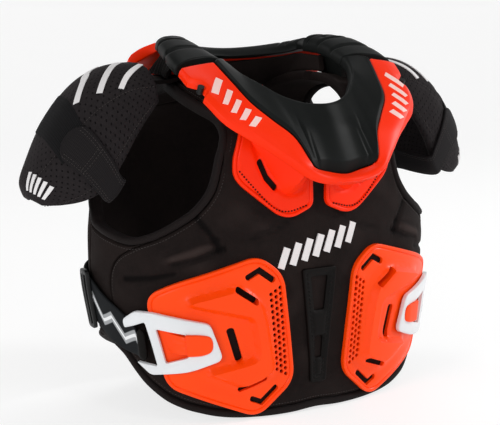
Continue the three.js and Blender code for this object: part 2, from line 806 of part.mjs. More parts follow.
function lowerPlate() {
  const frame = framed(LOWER_PLATE_INSET, LOWER_PLATE_TOP, LOWER_PLATE_WIDTH, LOWER_PLATE_HEIGHT);
  const base = flatBar(roundedOutline(LOWER_OUTLINE.map(frame)), PLATE_CLEARANCE, PLATE_TOP, PLATE_BEVEL);
  const ridge = flatBar(flatBand(LOWER_RIDGE.map(frame)), PLATE_CLEARANCE + 1, RIDGE_TOP, RIDGE_BEVEL);
  const slots = LOWER_SLOTS.map((rows) => {
    const band = flatBand(rows.map(frame).map((row) => ({ ...row, half: LOWER_SLOT_WIDTH / 2 })));
    return flatBar(band, -TOOL_REACH, TOOL_REACH, 0);
  });
  const holes = [];
  for (const row of HOLE_COLUMNS) {
    for (let k = 0; k < row.count; k++) {
      const down = row.b + (k * HOLE_PITCH) / LOWER_PLATE_HEIGHT;
      const across = lerp(row.a, row.aEnd, k / (row.count - 1));
      const centre = frame({ a: across, b: down });
      holes.push(new THREE.Shape(circle(centre.x, centre.y, HOLE_DIAMETER, 4).getPoints()));
    }
  }
  const drills = new THREE.ExtrudeGeometry(holes, { depth: 2 * TOOL_REACH, bevelEnabled: false });
  drills.translate(0, 0, -TOOL_REACH);
  return bent(cut(join(base, ridge, prong()), ...slots, drills));
}

// Prong that comes up through the buckle's window and lies over its bar
function prong() {
  const middle = BUCKLE_MIDDLE + 1;
  const root = BUCKLE_INSET + BUCKLE_WIDTH * 0.365;
  const tip = BUCKLE_INSET + BUCKLE_WIDTH * 0.07;
  const top = BUCKLE_FACE + BUCKLE_CLEARANCE + PRONG_THICKNESS;
  const half = BUCKLE_HEIGHT * 0.16;
  const tongue = roundedOutline([
    { x: tip, y: -middle + half * 0.8, round: 2 },
    { x: tip, y: -middle - half * 0.8, round: 2 },
    { x: root + PRONG_ROOT, y: -middle - half, round: 2 },
    { x: root + PRONG_ROOT, y: -middle + half, round: 2 },
  ]);
  const stem = roundedOutline([
    { x: root, y: -middle + half, round: 1 },
    { x: root, y: -middle - half, round: 1 },
    { x: root + PRONG_ROOT, y: -middle - half, round: 1 },
    { x: root + PRONG_ROOT, y: -middle + half, round: 1 },
  ]);
  return join(
    flatBar(tongue, BUCKLE_FACE + BUCKLE_CLEARANCE, top, 0.8),
    flatBar(stem, PLATE_CLEARANCE + 1, top - 0.9, 0),
  );
}

// Flat white buckle: a wide bar under the prong, a window, and a hook for the strap
function buckle() {
  const frame = framed(BUCKLE_INSET, BUCKLE_TOP, BUCKLE_WIDTH, BUCKLE_HEIGHT);
  const outline = [
    { a: 0.11, b: 0.19, round: 3 },
    { a: 0, b: 0.75, round: 5 },
    { a: 0.37, b: 0.93, round: 6 },
    { a: 0.77, b: 0.99, round: 3 },
    { a: 0.91, b: 0.8, round: 0 },
    { a: 0.69, b: 0.845, round: 0 },
    { a: 0.765, b: 0.16, round: 0 },
    { a: 1, b: 0.28, round: 0 },
    { a: 1.01, b: 0.15, round: 0 },
    { a: 0.86, b: 0, round: 3 },
    { a: 0.68, b: 0.01, round: 3 },
  ];
  const window = [
    { a: 0.635, b: 0.27, round: 2 },
    { a: 0.35, b: 0.35, round: 2 },
    { a: 0.35, b: 0.7, round: 2 },
    { a: 0.58, b: 0.79, round: 2 },
  ];
  const shape = roundedOutline(outline.map(frame));
  shape.holes = [roundedOutline(window.map(frame))];
  return bent(solidToGeometry(flatBar(shape, BUCKLE_BASE, BUCKLE_FACE, 0)));
}

// Elastic strap from the buckle's hook round the side to the back panel. Each row holds
// its place in rolls from the hook and as a share of the way to its end, its height as
// a share of its rise, its width as a share, and its lift and thickness
const SIDE_STRAP_ROWS = [
  { roll: -0.52, far: 0, rise: -0.065, width: 0.6, lift: 3, rolled: true },
  { roll: 0.48, far: 0, rise: -0.065, width: 0.6, lift: 3, rolled: true },
  { roll: 0.7, far: 0.022, rise: 0.03, width: 0.7, lift: 2.2 },
  { roll: 0, far: 0.136, rise: 0.19, width: 0.9, lift: 2 },
  { roll: 0, far: 0.254, rise: 0.41, width: 1, lift: 2.5 },
  { roll: 0, far: 0.384, rise: 0.7, width: 1, lift: SIDE_STRAP_LIFT },
  { roll: 0, far: 0.527, rise: 0.83, width: 1, lift: SIDE_STRAP_LIFT },
  { roll: 0, far: 0.68, rise: 0.91, width: 1, lift: 2 },
  { roll: 0, far: 0.858, rise: 0.95, width: 1, lift: 0.9 },
  { roll: 0, far: 1, rise: 0.95, width: 1, lift: 0.9 },
];

function strapMiddle({ roll = 0, far, rise }) {
  return {
    x: HOOK_ACROSS + roll * STRAP_ROLL + far * (STRAP_END_ACROSS - HOOK_ACROSS),
    y: -BUCKLE_MIDDLE + rise * SIDE_STRAP_RISE,
  };
}

function sideStrap() {
  const grid = (share) =>
    SIDE_STRAP_ROWS.map((row) => {
      const middle = strapMiddle(row);
      const thickness = row.rolled ? STRAP_ROLL : SIDE_STRAP_THICKNESS;
      return [-0.5, -0.17, 0.17, 0.5].map((across) => {
        const down = -middle.y + across * row.width * SIDE_STRAP_WIDTH;
        return raised(angleAt(middle.x), down, row.lift + share * thickness);
      });
    });
  return slab(grid(1), grid(0));
}

// Ladder slider on the strap
function slider() {
  const middle = strapMiddle({ far: SLIDER_PLACE, rise: 0.76 });
  const w = SLIDER_WIDTH / 2;
  const h = SLIDER_LENGTH / 2;
  const corners = (left, right, half, round) => [
    { x: middle.x + left, y: middle.y + half, round },
    { x: middle.x + left, y: middle.y - half, round },
    { x: middle.x + right, y: middle.y - half, round },
    { x: middle.x + right, y: middle.y + half, round },
  ];
  const shape = roundedOutline(corners(-w, w, h, 3));
  shape.holes = [
    roundedOutline(corners(-w + SLIDER_BAR * 0.7, -SLIDER_BAR * 0.4, h - SLIDER_BAR, 1)),
    roundedOutline(corners(SLIDER_BAR * 0.4, w - SLIDER_BAR * 0.7, h - SLIDER_BAR, 1)),
  ];
  const base = SIDE_STRAP_LIFT + SIDE_STRAP_THICKNESS + SEAM_GAP;
  return bent(solidToGeometry(flatBar(shape, base, base + SLIDER_THICKNESS, 0)));
}

// Edges of the neck brace, from the middle of the front round to the arm ends, as
// shares of the brace's half width, reach and fall
const bracePoint = ({ x, y, z }) =>
  new THREE.Vector3(x * BRACE_HALF_WIDTH, y * BRACE_REACH, z * BRACE_FALL);

const OPENING_EDGE = [
  { x: 0, y: -0.714, z: -0.275 },
  { x: 0.14, y: -0.68, z: -0.265 },
  { x: 0.24, y: -0.65, z: -0.23 },
  { x: 0.33, y: -0.61, z: -0.18 },
  { x: 0.4, y: -0.56, z: -0.115 },
  { x: 0.47, y: -0.5, z: -0.05 },
  { x: 0.52, y: -0.43, z: 0.01 },
  { x: 0.555, y: -0.36, z: 0.08 },
  { x: 0.57, y: -0.3, z: 0.13 },
];
const COVER_EDGE = [
  { x: 0, y: -0.94, z: -0.915 },
  { x: 0.15, y: -0.925, z: -0.885 },
  { x: 0.265, y: -0.935, z: -0.84 },
  { x: 0.31, y: -0.93, z: -0.77 },
  { x: 0.375, y: -0.85, z: -0.565 },
  { x: 0.495, y: -0.765, z: -0.41 },
  { x: 0.615, y: -0.68, z: -0.25 },
  { x: 0.675, y: -0.555, z: -0.075 },
  { x: 0.73, y: -0.41, z: 0.115 },
];
const YOKE_EDGE = [
  { x: 0, y: -0.99, z: -0.985 },
  { x: 0.16, y: -0.98, z: -0.97 },
  { x: 0.33, y: -0.965, z: -0.9 },
  { x: 0.47, y: -0.905, z: -0.76 },
  { x: 0.61, y: -0.835, z: -0.62 },
  { x: 0.75, y: -0.775, z: -0.5 },
  { x: 0.86, y: -0.725, z: -0.39 },
  { x: 0.94, y: -0.63, z: -0.23 },
  { x: 1.03, y: -0.385, z: 0.04 },
];

function refined(rows, steps) {
  const curve = new THREE.CatmullRomCurve3(rows.map(bracePoint), false, "centripetal");
  const points = [];
  const last = rows.length - 1;
  for (let k = 0; k <= last * steps; k++) points.push(curve.getPoint(k / (last * steps)));
  return points;
}

const across = (points) => [...points.slice(1).reverse().map((p) => p.clone().setX(-p.x)), ...points];

// Band between two edges: flat or crowned on top, with a lip on its outer edge
function band(innerEdge, outerEdge, shape) {
  const { crown, thickness, lip, gap = 0, over = 0 } = shape;
  const sections = innerEdge.map((inner, i) => {
    const last = innerEdge.length - 1;
    const before = Math.max(i - 1, 0);
    const after = Math.min(i + 1, last);
    const outer = outerEdge[i];
    const centre = (k) => innerEdge[k].clone().lerp(outerEdge[k], 0.5);
    const along = centre(after).sub(centre(before)).normalize();
    const width = outer.clone().sub(inner);
    const up = shape.ups ? shape.ups[i].clone() : width.clone().cross(along).normalize();
    if (up.z < 0) up.negate();
    const side = width.clone().normalize();
    const at = (share, height, sideways) =>
      inner.clone().addScaledVector(width, share).addScaledVector(up, height).addScaledVector(side, sideways);
    const raise = shape.raise ? shape.raise(i) : 0;
    return [
      at(0, over + raise, -gap),
      at(0.62, crown + over + raise, 0),
      at(1, over + raise * 0.5, gap),
      at(1, -lip - gap, gap),
      at(0.6, -thickness - gap, 0),
      at(0, -thickness - gap, -gap),
    ];
  });
  return loft(sections, false);
}

const BRACE_STEPS = 1;
const openingEdge = across(refined(OPENING_EDGE, BRACE_STEPS));
const coverEdge = across(refined(COVER_EDGE, BRACE_STEPS));
const yokeEdge = across(refined(YOKE_EDGE, BRACE_STEPS));

const towards = (points, others, distance) =>
  points.map((p, i) => others[i].clone().sub(p).setLength(distance).add(p));

// Directions square to a band that spans two edges, one for each pair of points
function bandUps(innerEdge, outerEdge) {
  return innerEdge.map((inner, i) => {
    const before = Math.max(i - 1, 0);
    const after = Math.min(i + 1, innerEdge.length - 1);
    const along = innerEdge[after].clone().add(outerEdge[after]).sub(innerEdge[before]).sub(outerEdge[before]);
    return outerEdge[i].clone().sub(inner).cross(along).normalize();
  });
}

const frontUps = bandUps(openingEdge, yokeEdge);

function yoke(gap = 0, over = 0) {
  const shape = { crown: YOKE_CROWN, thickness: YOKE_THICKNESS, lip: YOKE_LIP, gap, over, ups: frontUps };
  return band(towards(coverEdge, yokeEdge, BRACE_GAP), yokeEdge, shape);
}

function braceCover(gap = 0, over = 0) {
  const shape = { crown: COVER_CROWN, thickness: COVER_THICKNESS, lip: COVER_THICKNESS, gap, over, ups: frontUps };
  return band(openingEdge, towards(coverEdge, openingEdge, BRACE_GAP), shape);
}

// Segmented pad on the shoulder side of the brace, behind each arm of the yoke
const SIDE_INNER = [
  { x: 0.575, y: -0.29, z: 0.14 },
  { x: 0.585, y: -0.2, z: 0.185 },
  { x: 0.59, y: -0.1, z: 0.23 },
  { x: 0.585, y: 0, z: 0.265 },
  { x: 0.57, y: 0.08, z: 0.28 },
  { x: 0.55, y: 0.13, z: 0.285 },
];
const SIDE_OUTER = [
  { x: 1.02, y: -0.355, z: 0.08 },
  { x: 1.01, y: -0.25, z: 0.16 },
  { x: 0.98, y: -0.13, z: 0.24 },
  { x: 0.95, y: -0.03, z: 0.29 },
  { x: 0.9, y: 0.08, z: 0.31 },
  { x: 0.8, y: 0.15, z: 0.31 },
];

const SIDE_THICKNESS = 10;
const SIDE_LIP = 8;

function sidePad() {
  const steps = 2;
  const shape = {
    crown: 4,
    thickness: SIDE_THICKNESS,
    lip: SIDE_LIP,
    raise: (i) => (i > 0 && i % 3 === 0 ? -2.2 : 0),
  };
  return band(refined(SIDE_INNER, steps), refined(SIDE_OUTER, steps), shape);
}

// Rear of the brace: a thin rim round the neck and a shell that lies down the back
const REAR_INNER = [
  { x: 0, y: 0.35, z: 0.19 },
  { x: 0.17, y: 0.34, z: 0.2 },
  { x: 0.34, y: 0.305, z: 0.22 },
  { x: 0.48, y: 0.24, z: 0.25 },
  { x: 0.545, y: 0.195, z: 0.28 },
];
const REAR_MIDDLE = [
  { x: 0, y: 0.43, z: 0.155 },
  { x: 0.24, y: 0.42, z: 0.165 },
  { x: 0.48, y: 0.38, z: 0.2 },
  { x: 0.68, y: 0.3, z: 0.25 },
  { x: 0.79, y: 0.235, z: 0.28 },
];
const REAR_OUTER = [
  { x: 0, y: 0.74, z: -0.52 },
  { x: 0.38, y: 0.7, z: -0.42 },
  { x: 0.72, y: 0.58, z: -0.18 },
  { x: 0.98, y: 0.4, z: -0.02 },
  { x: 1.08, y: 0.19, z: 0.12 },
];

const rearInner = across(refined(REAR_INNER, 2));
const rearMiddle = across(refined(REAR_MIDDLE, 2));
const rearOuter = across(refined(REAR_OUTER, 2));
const rearUps = bandUps(rearInner, rearOuter);

function rearRim() {
  const shape = { crown: 2, thickness: RIM_THICKNESS, lip: RIM_THICKNESS, ups: rearUps };
  return band(rearInner, rearMiddle, shape);
}

function rearShell() {
  const shape = { crown: YOKE_CROWN, thickness: YOKE_THICKNESS, lip: YOKE_LIP, ups: rearUps };
  return band(towards(rearMiddle, rearOuter, BRACE_GAP * 2), rearOuter, shape);
}

// Padded wall inside the back of the brace, from under its rim to the vest
const LINER_THICKNESS = 5;
const LINER_FOOT = [
  behind(0, 0.135),
  behind(0.16, 0.14),
  behind(0.3, 0.17),
  behind(0.42, 0.165),
  behind(0.5, 0.12),
  behind(0.52, 0.06),
  behind(0.52, -0.02),
].map(place);
const LINER_HEAD = [
  { x: 0, y: 0.375, z: 0.055 },
  { x: 0.17, y: 0.365, z: 0.065 },
  { x: 0.34, y: 0.33, z: 0.085 },
  { x: 0.47, y: 0.27, z: 0.11 },
  { x: 0.54, y: 0.19, z: 0.14 },
  { x: 0.57, y: 0.1, z: 0.135 },
  { x: 0.6, y: 0, z: 0.12 },
];

function neckLiner() {
  const heads = across(LINER_HEAD.map(bracePoint));
  const feet = across(LINER_FOOT.map((row) => raised(row.angle, row.down, SEAM_GAP)));
  const wall = (outward) =>
    feet.map((low, i) => {
      const shift = new THREE.Vector3(heads[i].x, heads[i].y, 0).setLength(outward);
      return [0, 0.5, 1].map((t) => heads[i].clone().lerp(low, t).add(shift));
    });
  return slab(wall(LINER_THICKNESS), wall(0));
}

// Foam block that carries the brace on the shoulder strap
const BASE_ROWS = [-0.2, -0.11, -0.02, 0.06];
const BASE_COLUMNS = [0.66, 0.7, 0.74];

function braceBase() {
  const top = refined(SIDE_INNER, 2);
  const heightAt = (y) => {
    const nearest = top.reduce((best, p) => (Math.abs(p.y - y) < Math.abs(best.y - y) ? p : best));
    return nearest.z - SIDE_THICKNESS - SEAM_GAP * 2;
  };
  const grid = (height) =>
    BASE_ROWS.map((row) =>
      BASE_COLUMNS.map((share) => {
        const x = share * BRACE_HALF_WIDTH;
        const y = row * BRACE_REACH;
        return new THREE.Vector3(x, y, height(x, y));
      }),
    );
  return slab(grid((x, y) => heightAt(y)), grid((x, y) => shoulderHeight(x, y) + SEAM_GAP));
}

// Upper chest plate, with a strut that carries the brace's yoke
function upperPlate(side) {
  const frame = framed(UPPER_PLATE_INSET, UPPER_PLATE_TOP, UPPER_PLATE_WIDTH, UPPER_PLATE_HEIGHT);
  const outline = [
    { a: 0, b: 0, round: 6 },
    { a: 0, b: 0.9, round: 6 },
    { a: 0.36, b: 1.04, round: 14 },
    { a: 0.96, b: 0.6, round: 12 },
    { a: 1.01, b: 0.36, round: 8 },
    { a: 0.93, b: 0, round: 6 },
  ];
  const base = flatBar(roundedOutline(outline.map(frame)), PLATE_CLEARANCE, PLATE_TOP, PLATE_BEVEL);
  const profile = (a, foot) =>
    [
      { a, b: foot, lift: PLATE_CLEARANCE + 1 },
      { a, b: foot, lift: PLATE_TOP },
      { a, b: foot - 0.3, lift: STRUT_REACH },
      { a, b: 0.08, lift: STRUT_REACH * 0.7 },
      { a, b: 0.08, lift: PLATE_CLEARANCE + 1 },
    ].map(frame).map((row) => new THREE.Vector3(row.x, row.y, row.lift));
  const strut = loft([profile(0.04, 0.7), profile(0.36, 0.76), profile(0.56, 0.58)], false);
  const slotPath = [
    { a: 0.68, b: 0.38 },
    { a: 0.58, b: 0.58 },
    { a: 0.43, b: 0.8 },
  ].map(frame).map((row) => ({ ...row, half: UPPER_SLOT_WIDTH / 2 }));
  const slot = flatBar(flatBand(slotPath), -TOOL_REACH, TOOL_REACH, 0);
  const left = bent(cut(join(base, strut), slot));
  const plate = side < 0 ? mirrored(left) : left;
  return cut(plate, ...[0, TOOL_REACH].flatMap((over) => [yoke(BRACE_GAP, over), braceCover(BRACE_GAP, over)]));
}

// Shoulder pad: a curved shell from the shoulder down over the upper arm. Each row
// holds the crown line and the edge that hangs in front of the arm, as shares of the
// pad's reach, half depth and drop
const PAD_ROWS = [
  { ridgeX: 0.54, ridgeZ: 0.08, edgeX: 0.53, edgeZ: -0.24, depth: 0.84 },
  { ridgeX: 0.665, ridgeZ: 0.05, edgeX: 0.62, edgeZ: -0.47, depth: 0.96 },
  { ridgeX: 0.785, ridgeZ: -0.09, edgeX: 0.69, edgeZ: -0.71, depth: 1 },
  { ridgeX: 0.89, ridgeZ: -0.34, edgeX: 0.74, edgeZ: -0.88, depth: 0.94 },
  { ridgeX: 0.96, ridgeZ: -0.6, edgeX: 0.81, edgeZ: -0.97, depth: 0.8 },
  { ridgeX: 1, ridgeZ: -0.82, edgeX: 0.89, edgeZ: -1, depth: 0.58 },
  { ridgeX: 0.985, ridgeZ: -0.96, edgeX: 0.955, edgeZ: -1, depth: 0.3 },
];
const PAD_SHAPE = 0.8;

function padCurve(row) {
  const along = row * (PAD_ROWS.length - 1);
  const i = Math.min(Math.floor(along), PAD_ROWS.length - 2);
  const value = (name) => {
    const p = [-1, 0, 1, 2].map((k) => PAD_ROWS[THREE.MathUtils.clamp(i + k, 0, PAD_ROWS.length - 1)][name]);
    const t = along - i;
    const smooth = (p[2] - p[0]) * t + (2 * p[0] - 5 * p[1] + 4 * p[2] - p[3]) * t * t;
    return p[1] + (smooth + (3 * (p[1] - p[2]) + p[3] - p[0]) * t * t * t) / 2;
  };
  return {
    ridge: new THREE.Vector3(value("ridgeX") * PAD_REACH, 0, value("ridgeZ") * PAD_DROP),
    edge: new THREE.Vector3(value("edgeX") * PAD_REACH, 0, value("edgeZ") * PAD_DROP),
    depth: value("depth") * PAD_HALF_DEPTH,
  };
}

// Turn runs from 0 at the front edge over the crown to pi at the back edge. Beyond
// those it goes on round the underside of the arm.
function padPoint(row, turn, depthBelow = ARM_LOOP_DEPTH) {
  const { ridge, edge, depth } = padCurve(row);
  const rise = ridge.clone().sub(edge);
  const high = signedPower(Math.sin(turn), PAD_SHAPE);
  const point = edge.clone();
  if (high >= 0) point.addScaledVector(rise, high);
  else point.addScaledVector(rise.clone().normalize(), high * depthBelow);
  point.y = -depth * signedPower(Math.cos(turn), PAD_SHAPE);
  return point;
}

function padNormal(row, turn) {
  const step = 0.02;
  const low = Math.max(row - step, 0);
  const high = Math.min(row + step, 1);
  const length = padPoint(high, turn).sub(padPoint(low, turn));
  const round = padPoint(row, turn + step).sub(padPoint(row, turn - step));
  return length.cross(round).normalize();
}

const onPad = (row, turn, lift) => padPoint(row, turn).addScaledVector(padNormal(row, turn), lift);

function shoulderPad() {
  const columns = 8;
  const rows = 8;
  const grid = (lift) =>
    Array.from({ length: columns + 1 }, (_, i) =>
      Array.from({ length: rows + 1 }, (_, j) => {
        const turn = lerp(0.04, Math.PI - 0.04, j / rows);
        return onPad(i / columns, turn, lift);
      }),
    );
  return slab(grid(0), grid(-PAD_THICKNESS));
}

// Fabric link from the shoulder strap to the underside of the pad's top end
const LINK_THICKNESS = 3;
const LINK_COLUMNS = 4;

function linkPoint(t, j) {
  const turn = lerp(Math.PI * 0.3, Math.PI * 0.7, j / LINK_COLUMNS);
  const end = onPad(0.1, turn, -PAD_THICKNESS - SEAM_GAP - LINK_THICKNESS);
  const y = end.y;
  const onBody = (share) => {
    const x = share * TORSO_HALF_WIDTH;
    return new THREE.Vector3(x, y, shoulderHeight(x, y) + SEAM_GAP);
  };
  const overBinding = (BINDING_THICKNESS - PANEL_THICKNESS) / 2;
  const bump = (share) => onBody(share).setZ(onBody(share).z + overBinding + SEAM_GAP * 2);
  const path = [onBody(0.51), bump(0.56), bump(0.61), end.clone().lerp(bump(0.61), 0.5), end];
  const at = t * (path.length - 1);
  const i = Math.min(Math.floor(at), path.length - 2);
  return path[i].clone().lerp(path[i + 1], at - i);
}

function padLink() {
  const grid = (lift) =>
    [0, 0.25, 0.5, 0.75, 1].map((t) =>
      Array.from({ length: LINK_COLUMNS + 1 }, (_, j) => {
        const point = linkPoint(t, j);
        return point.setZ(point.z + lift);
      }),
    );
  return slab(grid(LINK_THICKNESS), grid(0));
}

// Gathered fabric between the outer edge of the brace's side pad and the link
const GUSSET_THICKNESS = 3;

function gusset() {
  const top = refined(SIDE_OUTER, 2).slice(3);
  const wall = (inward) =>
    top.map((p, i) => {
      const t = i / (top.length - 1);
      const low = linkPoint(0.56, lerp(0.2, LINK_COLUMNS - 0.6, t));
      low.z += LINK_THICKNESS + SEAM_GAP;
      const high = p.clone().setZ(p.z - SIDE_THICKNESS - SEAM_GAP * 2);
      high.x -= 5;
      return [high, low].map((q) => q.setX(q.x - inward));
    });
  return slab(wall(0), wall(GUSSET_THICKNESS));
}

// Strap round the arm, from the tab on the front of the pad to the back of it
function armStrap() {
  const start = { row: 0.53, turn: 0.95 };
  const end = { row: 0.4, turn: -Math.PI * 1.25 };
  const columns = 16;
  const half = ARM_STRAP_WIDTH / 2 / 150;
  const grid = (lift) =>
    Array.from({ length: columns + 1 }, (_, i) => {
      const t = i / columns;
      const row = lerp(start.row, end.row, Math.min(t * 2, 1));
      return [-1, 0, 1].map((side) => onPad(row + side * half, lerp(start.turn, end.turn, t), lift));
    });
  return slab(grid(ARM_STRAP_CLEARANCE + ARM_STRAP_THICKNESS), grid(ARM_STRAP_CLEARANCE));
}

const materials = {
  fabric: new THREE.MeshStandardMaterial({ color: 0x231d1c, roughness: 0.9, metalness: 0 }),
  orange: new THREE.MeshStandardMaterial({ color: 0xff4a00, roughness: 0.35, metalness: 0 }),
  rubber: new THREE.MeshStandardMaterial({ color: 0x222422, roughness: 0.6, metalness: 0 }),
  white: new THREE.MeshStandardMaterial({ color: 0xe9ecef, roughness: 0.35, metalness: 0 }),
  webbing: new THREE.MeshStandardMaterial({ color: 0x1b1b1d, roughness: 0.85, metalness: 0 }),
};

const vest = new THREE.Group();

function add(name, geometry, material) {
  const mesh = new THREE.Mesh(geometry, material);
  mesh.name = name;
  vest.add(mesh);
}

function addPair(name, geometry, material) {
  add(name + "_left", geometry, material);
  add(name + "_right", mirrored(geometry), material);
}

add("front_panel", frontPanel(), materials.fabric);
add("back_panel", backPanel(), materials.fabric);
addPair("side_panel", sidePanel(), materials.fabric);
addPair("shoulder_strap", shoulderStrap(), materials.fabric);
addPair("armhole_binding", bindingSections(armhole, true), materials.fabric);
add("hem_binding", hemBinding(), materials.fabric);
add("centre_channel", centreChannel(), materials.rubber);
addPair("lower_chest_plate", lowerPlate(), materials.orange);
add("upper_chest_plate_left", upperPlate(1), materials.orange);
add("upper_chest_plate_right", upperPlate(-1), materials.orange);
addPair("buckle", buckle(), materials.white);
addPair("side_strap", sideStrap(), materials.webbing);
addPair("strap_slider", slider(), materials.rubber);
add("brace_yoke", yoke(), materials.orange);
add("brace_front_cover", braceCover(), materials.rubber);
addPair("brace_side_pad", cut(sidePad(), yoke(BRACE_GAP), braceCover(BRACE_GAP)), materials.rubber);
add("brace_rear_rim", rearRim(), materials.rubber);
add("brace_rear_shell", rearShell(), materials.orange);
add("neck_liner", neckLiner(), materials.fabric);
addPair("brace_base", braceBase(), materials.rubber);
addPair("shoulder_pad", shoulderPad(), materials.fabric);
addPair("pad_link", padLink(), materials.fabric);
addPair("shoulder_gusset", gusset(), materials.fabric);
addPair("arm_strap", armStrap(), materials.webbing);

export default vest;
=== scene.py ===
import json
import math

import bpy
import numpy as np
from mathutils import Matrix, Vector
from mathutils.bvhtree import BVHTree
from mathutils.geometry import delaunay_2d_cdt

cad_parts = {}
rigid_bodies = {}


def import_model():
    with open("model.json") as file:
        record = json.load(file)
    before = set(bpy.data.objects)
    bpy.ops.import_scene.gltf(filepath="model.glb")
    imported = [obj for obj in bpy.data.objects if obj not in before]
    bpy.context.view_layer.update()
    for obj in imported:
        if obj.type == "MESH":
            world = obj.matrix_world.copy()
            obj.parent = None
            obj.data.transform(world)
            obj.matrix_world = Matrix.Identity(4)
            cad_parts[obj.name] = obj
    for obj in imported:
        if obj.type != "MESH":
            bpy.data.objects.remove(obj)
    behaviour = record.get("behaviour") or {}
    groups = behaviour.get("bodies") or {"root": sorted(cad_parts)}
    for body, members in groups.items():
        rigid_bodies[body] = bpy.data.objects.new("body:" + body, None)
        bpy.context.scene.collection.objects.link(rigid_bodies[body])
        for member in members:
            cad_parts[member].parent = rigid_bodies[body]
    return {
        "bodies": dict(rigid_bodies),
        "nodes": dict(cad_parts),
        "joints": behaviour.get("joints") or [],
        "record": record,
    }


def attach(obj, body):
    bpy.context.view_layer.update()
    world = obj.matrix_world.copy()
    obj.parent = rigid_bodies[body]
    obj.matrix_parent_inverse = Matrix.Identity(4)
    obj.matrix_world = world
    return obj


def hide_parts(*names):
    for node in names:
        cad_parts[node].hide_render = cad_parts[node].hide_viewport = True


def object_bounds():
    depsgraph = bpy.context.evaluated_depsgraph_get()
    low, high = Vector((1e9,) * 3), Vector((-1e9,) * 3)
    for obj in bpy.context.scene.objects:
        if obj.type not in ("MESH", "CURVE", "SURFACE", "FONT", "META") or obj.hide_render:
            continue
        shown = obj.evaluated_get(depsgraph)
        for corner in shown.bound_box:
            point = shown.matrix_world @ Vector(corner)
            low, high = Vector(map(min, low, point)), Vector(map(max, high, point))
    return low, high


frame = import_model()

cad_low, cad_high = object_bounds()

# Sizes are in millimetres in this script and become metres when a mesh is made
MM = 0.001

# Camera, at the photograph's place
CAMERA_PLACE = (-500.4, -852.8, 46.0)
CAMERA_AIM = (-6.06, 3.5, -123.0)
CAMERA_LENS = 84.0

camera_data = bpy.data.cameras.new("camera")
camera = bpy.data.objects.new("camera", camera_data)
bpy.context.scene.collection.objects.link(camera)
bpy.context.scene.camera = camera
camera_data.lens = CAMERA_LENS
camera_data.sensor_width = 36.0
camera_data.clip_end = 20.0
aim = Vector(CAMERA_AIM) - Vector(CAMERA_PLACE)
camera.location = Vector(CAMERA_PLACE) * MM
camera.rotation_euler = aim.to_track_quat("-Z", "Y").to_euler()


# Body of the vest, as in the part's source
TORSO_HALF_WIDTH = 153.0
TORSO_FRONT = 94.0
TORSO_BACK = 104.0
FRONT_SQUARENESS = 2.35
BACK_SQUARENESS = 2.0
TORSO_LENGTH = 314.0
SHOULDER_ROLL = 104.0
SHOULDER_HEIGHT = 60.0
SHOULDER_SLOPE = 14.0
PANEL_THICKNESS = 8.0
BINDING_WIDTH = 6.0
BINDING_THICKNESS = 11.0
PANEL_GAP = 0.4

# Shares of the torso sizes: distance down, width, front depth, back depth
TORSO_SECTIONS = np.array(
    [
        (-0.01, 0.7, 0.94, 0.9),
        (0.16, 0.8, 0.94, 0.92),
        (0.33, 0.92, 0.96, 0.9),
        (0.48, 0.985, 0.98, 0.84),
        (0.64, 1.0, 1.0, 0.8),
        (0.8, 0.95, 1.0, 0.74),
        (1.02, 0.89, 0.98, 0.66),
    ]
)


def smooth_column(table, column, at):
    """Smooth curve through one column of a table, at values of its first column."""
    x, y = table[:, 0], table[:, column]
    steps = np.diff(y) / np.diff(x)
    slope = np.concatenate([steps[:1], (y[2:] - y[:-2]) / (x[2:] - x[:-2]), steps[-1:]])
    at = np.clip(at, x[0], x[-1])
    i = np.clip(np.searchsorted(x, at) - 1, 0, len(x) - 2)
    step = x[i + 1] - x[i]
    t = (at - x[i]) / step
    a, b = y[i], y[i + 1]
    ma, mb = slope[i] * step, slope[i + 1] * step
    cube, square = t**3, t**2
    near = (2 * cube - 3 * square + 1) * a + (cube - 2 * square + t) * ma
    return near + (3 * square - 2 * cube) * b + (cube - square) * mb


def signed_power(value, power):
    return np.sign(value) * np.abs(value) ** power


def lengths_along(points):
    """Distance of each point of a path from its first one."""
    return np.concatenate([[0], np.cumsum(np.linalg.norm(np.diff(points, axis=0), axis=1))])


ARC_STEPS = 720
arc_angles = np.linspace(0, math.pi, ARC_STEPS + 1)
in_front = np.cos(arc_angles) > 0
arc_power = 2 / np.where(in_front, FRONT_SQUARENESS, BACK_SQUARENESS)
arc_depth = np.where(in_front, TORSO_FRONT, TORSO_BACK)
arc_points = np.stack(
    [
        TORSO_HALF_WIDTH * signed_power(np.sin(arc_angles), arc_power),
        arc_depth * signed_power(np.cos(arc_angles), arc_power),
    ],
    -1,
)
arc_lengths = lengths_along(arc_points)


def angle_at(across):
    return np.sign(across) * np.interp(np.abs(across), arc_lengths, arc_angles)


def body_point(angle, down):
    """Points of the vest's outer face, for arrays of angles and distances down."""
    angle, down = np.broadcast_arrays(np.asarray(angle, float), np.asarray(down, float))
    side = np.where(angle >= 0, 1.0, -1.0)
    a = np.where(down < 0, side * math.pi - angle, angle)
    d = np.abs(down)
    share = d / TORSO_LENGTH
    width = TORSO_HALF_WIDTH * smooth_column(TORSO_SECTIONS, 1, share)
    front = TORSO_FRONT * smooth_column(TORSO_SECTIONS, 2, share)
    back = TORSO_BACK * smooth_column(TORSO_SECTIONS, 3, share)
    faces_front = np.cos(a) > 0
    power = 2 / np.where(faces_front, FRONT_SQUARENESS, BACK_SQUARENESS)
    roll = np.clip(d / SHOULDER_ROLL, 0, 1) * math.pi / 2
    x = width * signed_power(np.sin(a), power)
    y = -np.where(faces_front, front, back) * np.sin(roll) * signed_power(np.cos(a), power)
    drop = SHOULDER_HEIGHT * (1 - np.cos(roll)) + np.maximum(d - SHOULDER_ROLL, 0)
    slope = SHOULDER_SLOPE * (x / width) ** 2 * np.cos(roll)
    return np.stack([x, y, -drop - slope], -1)


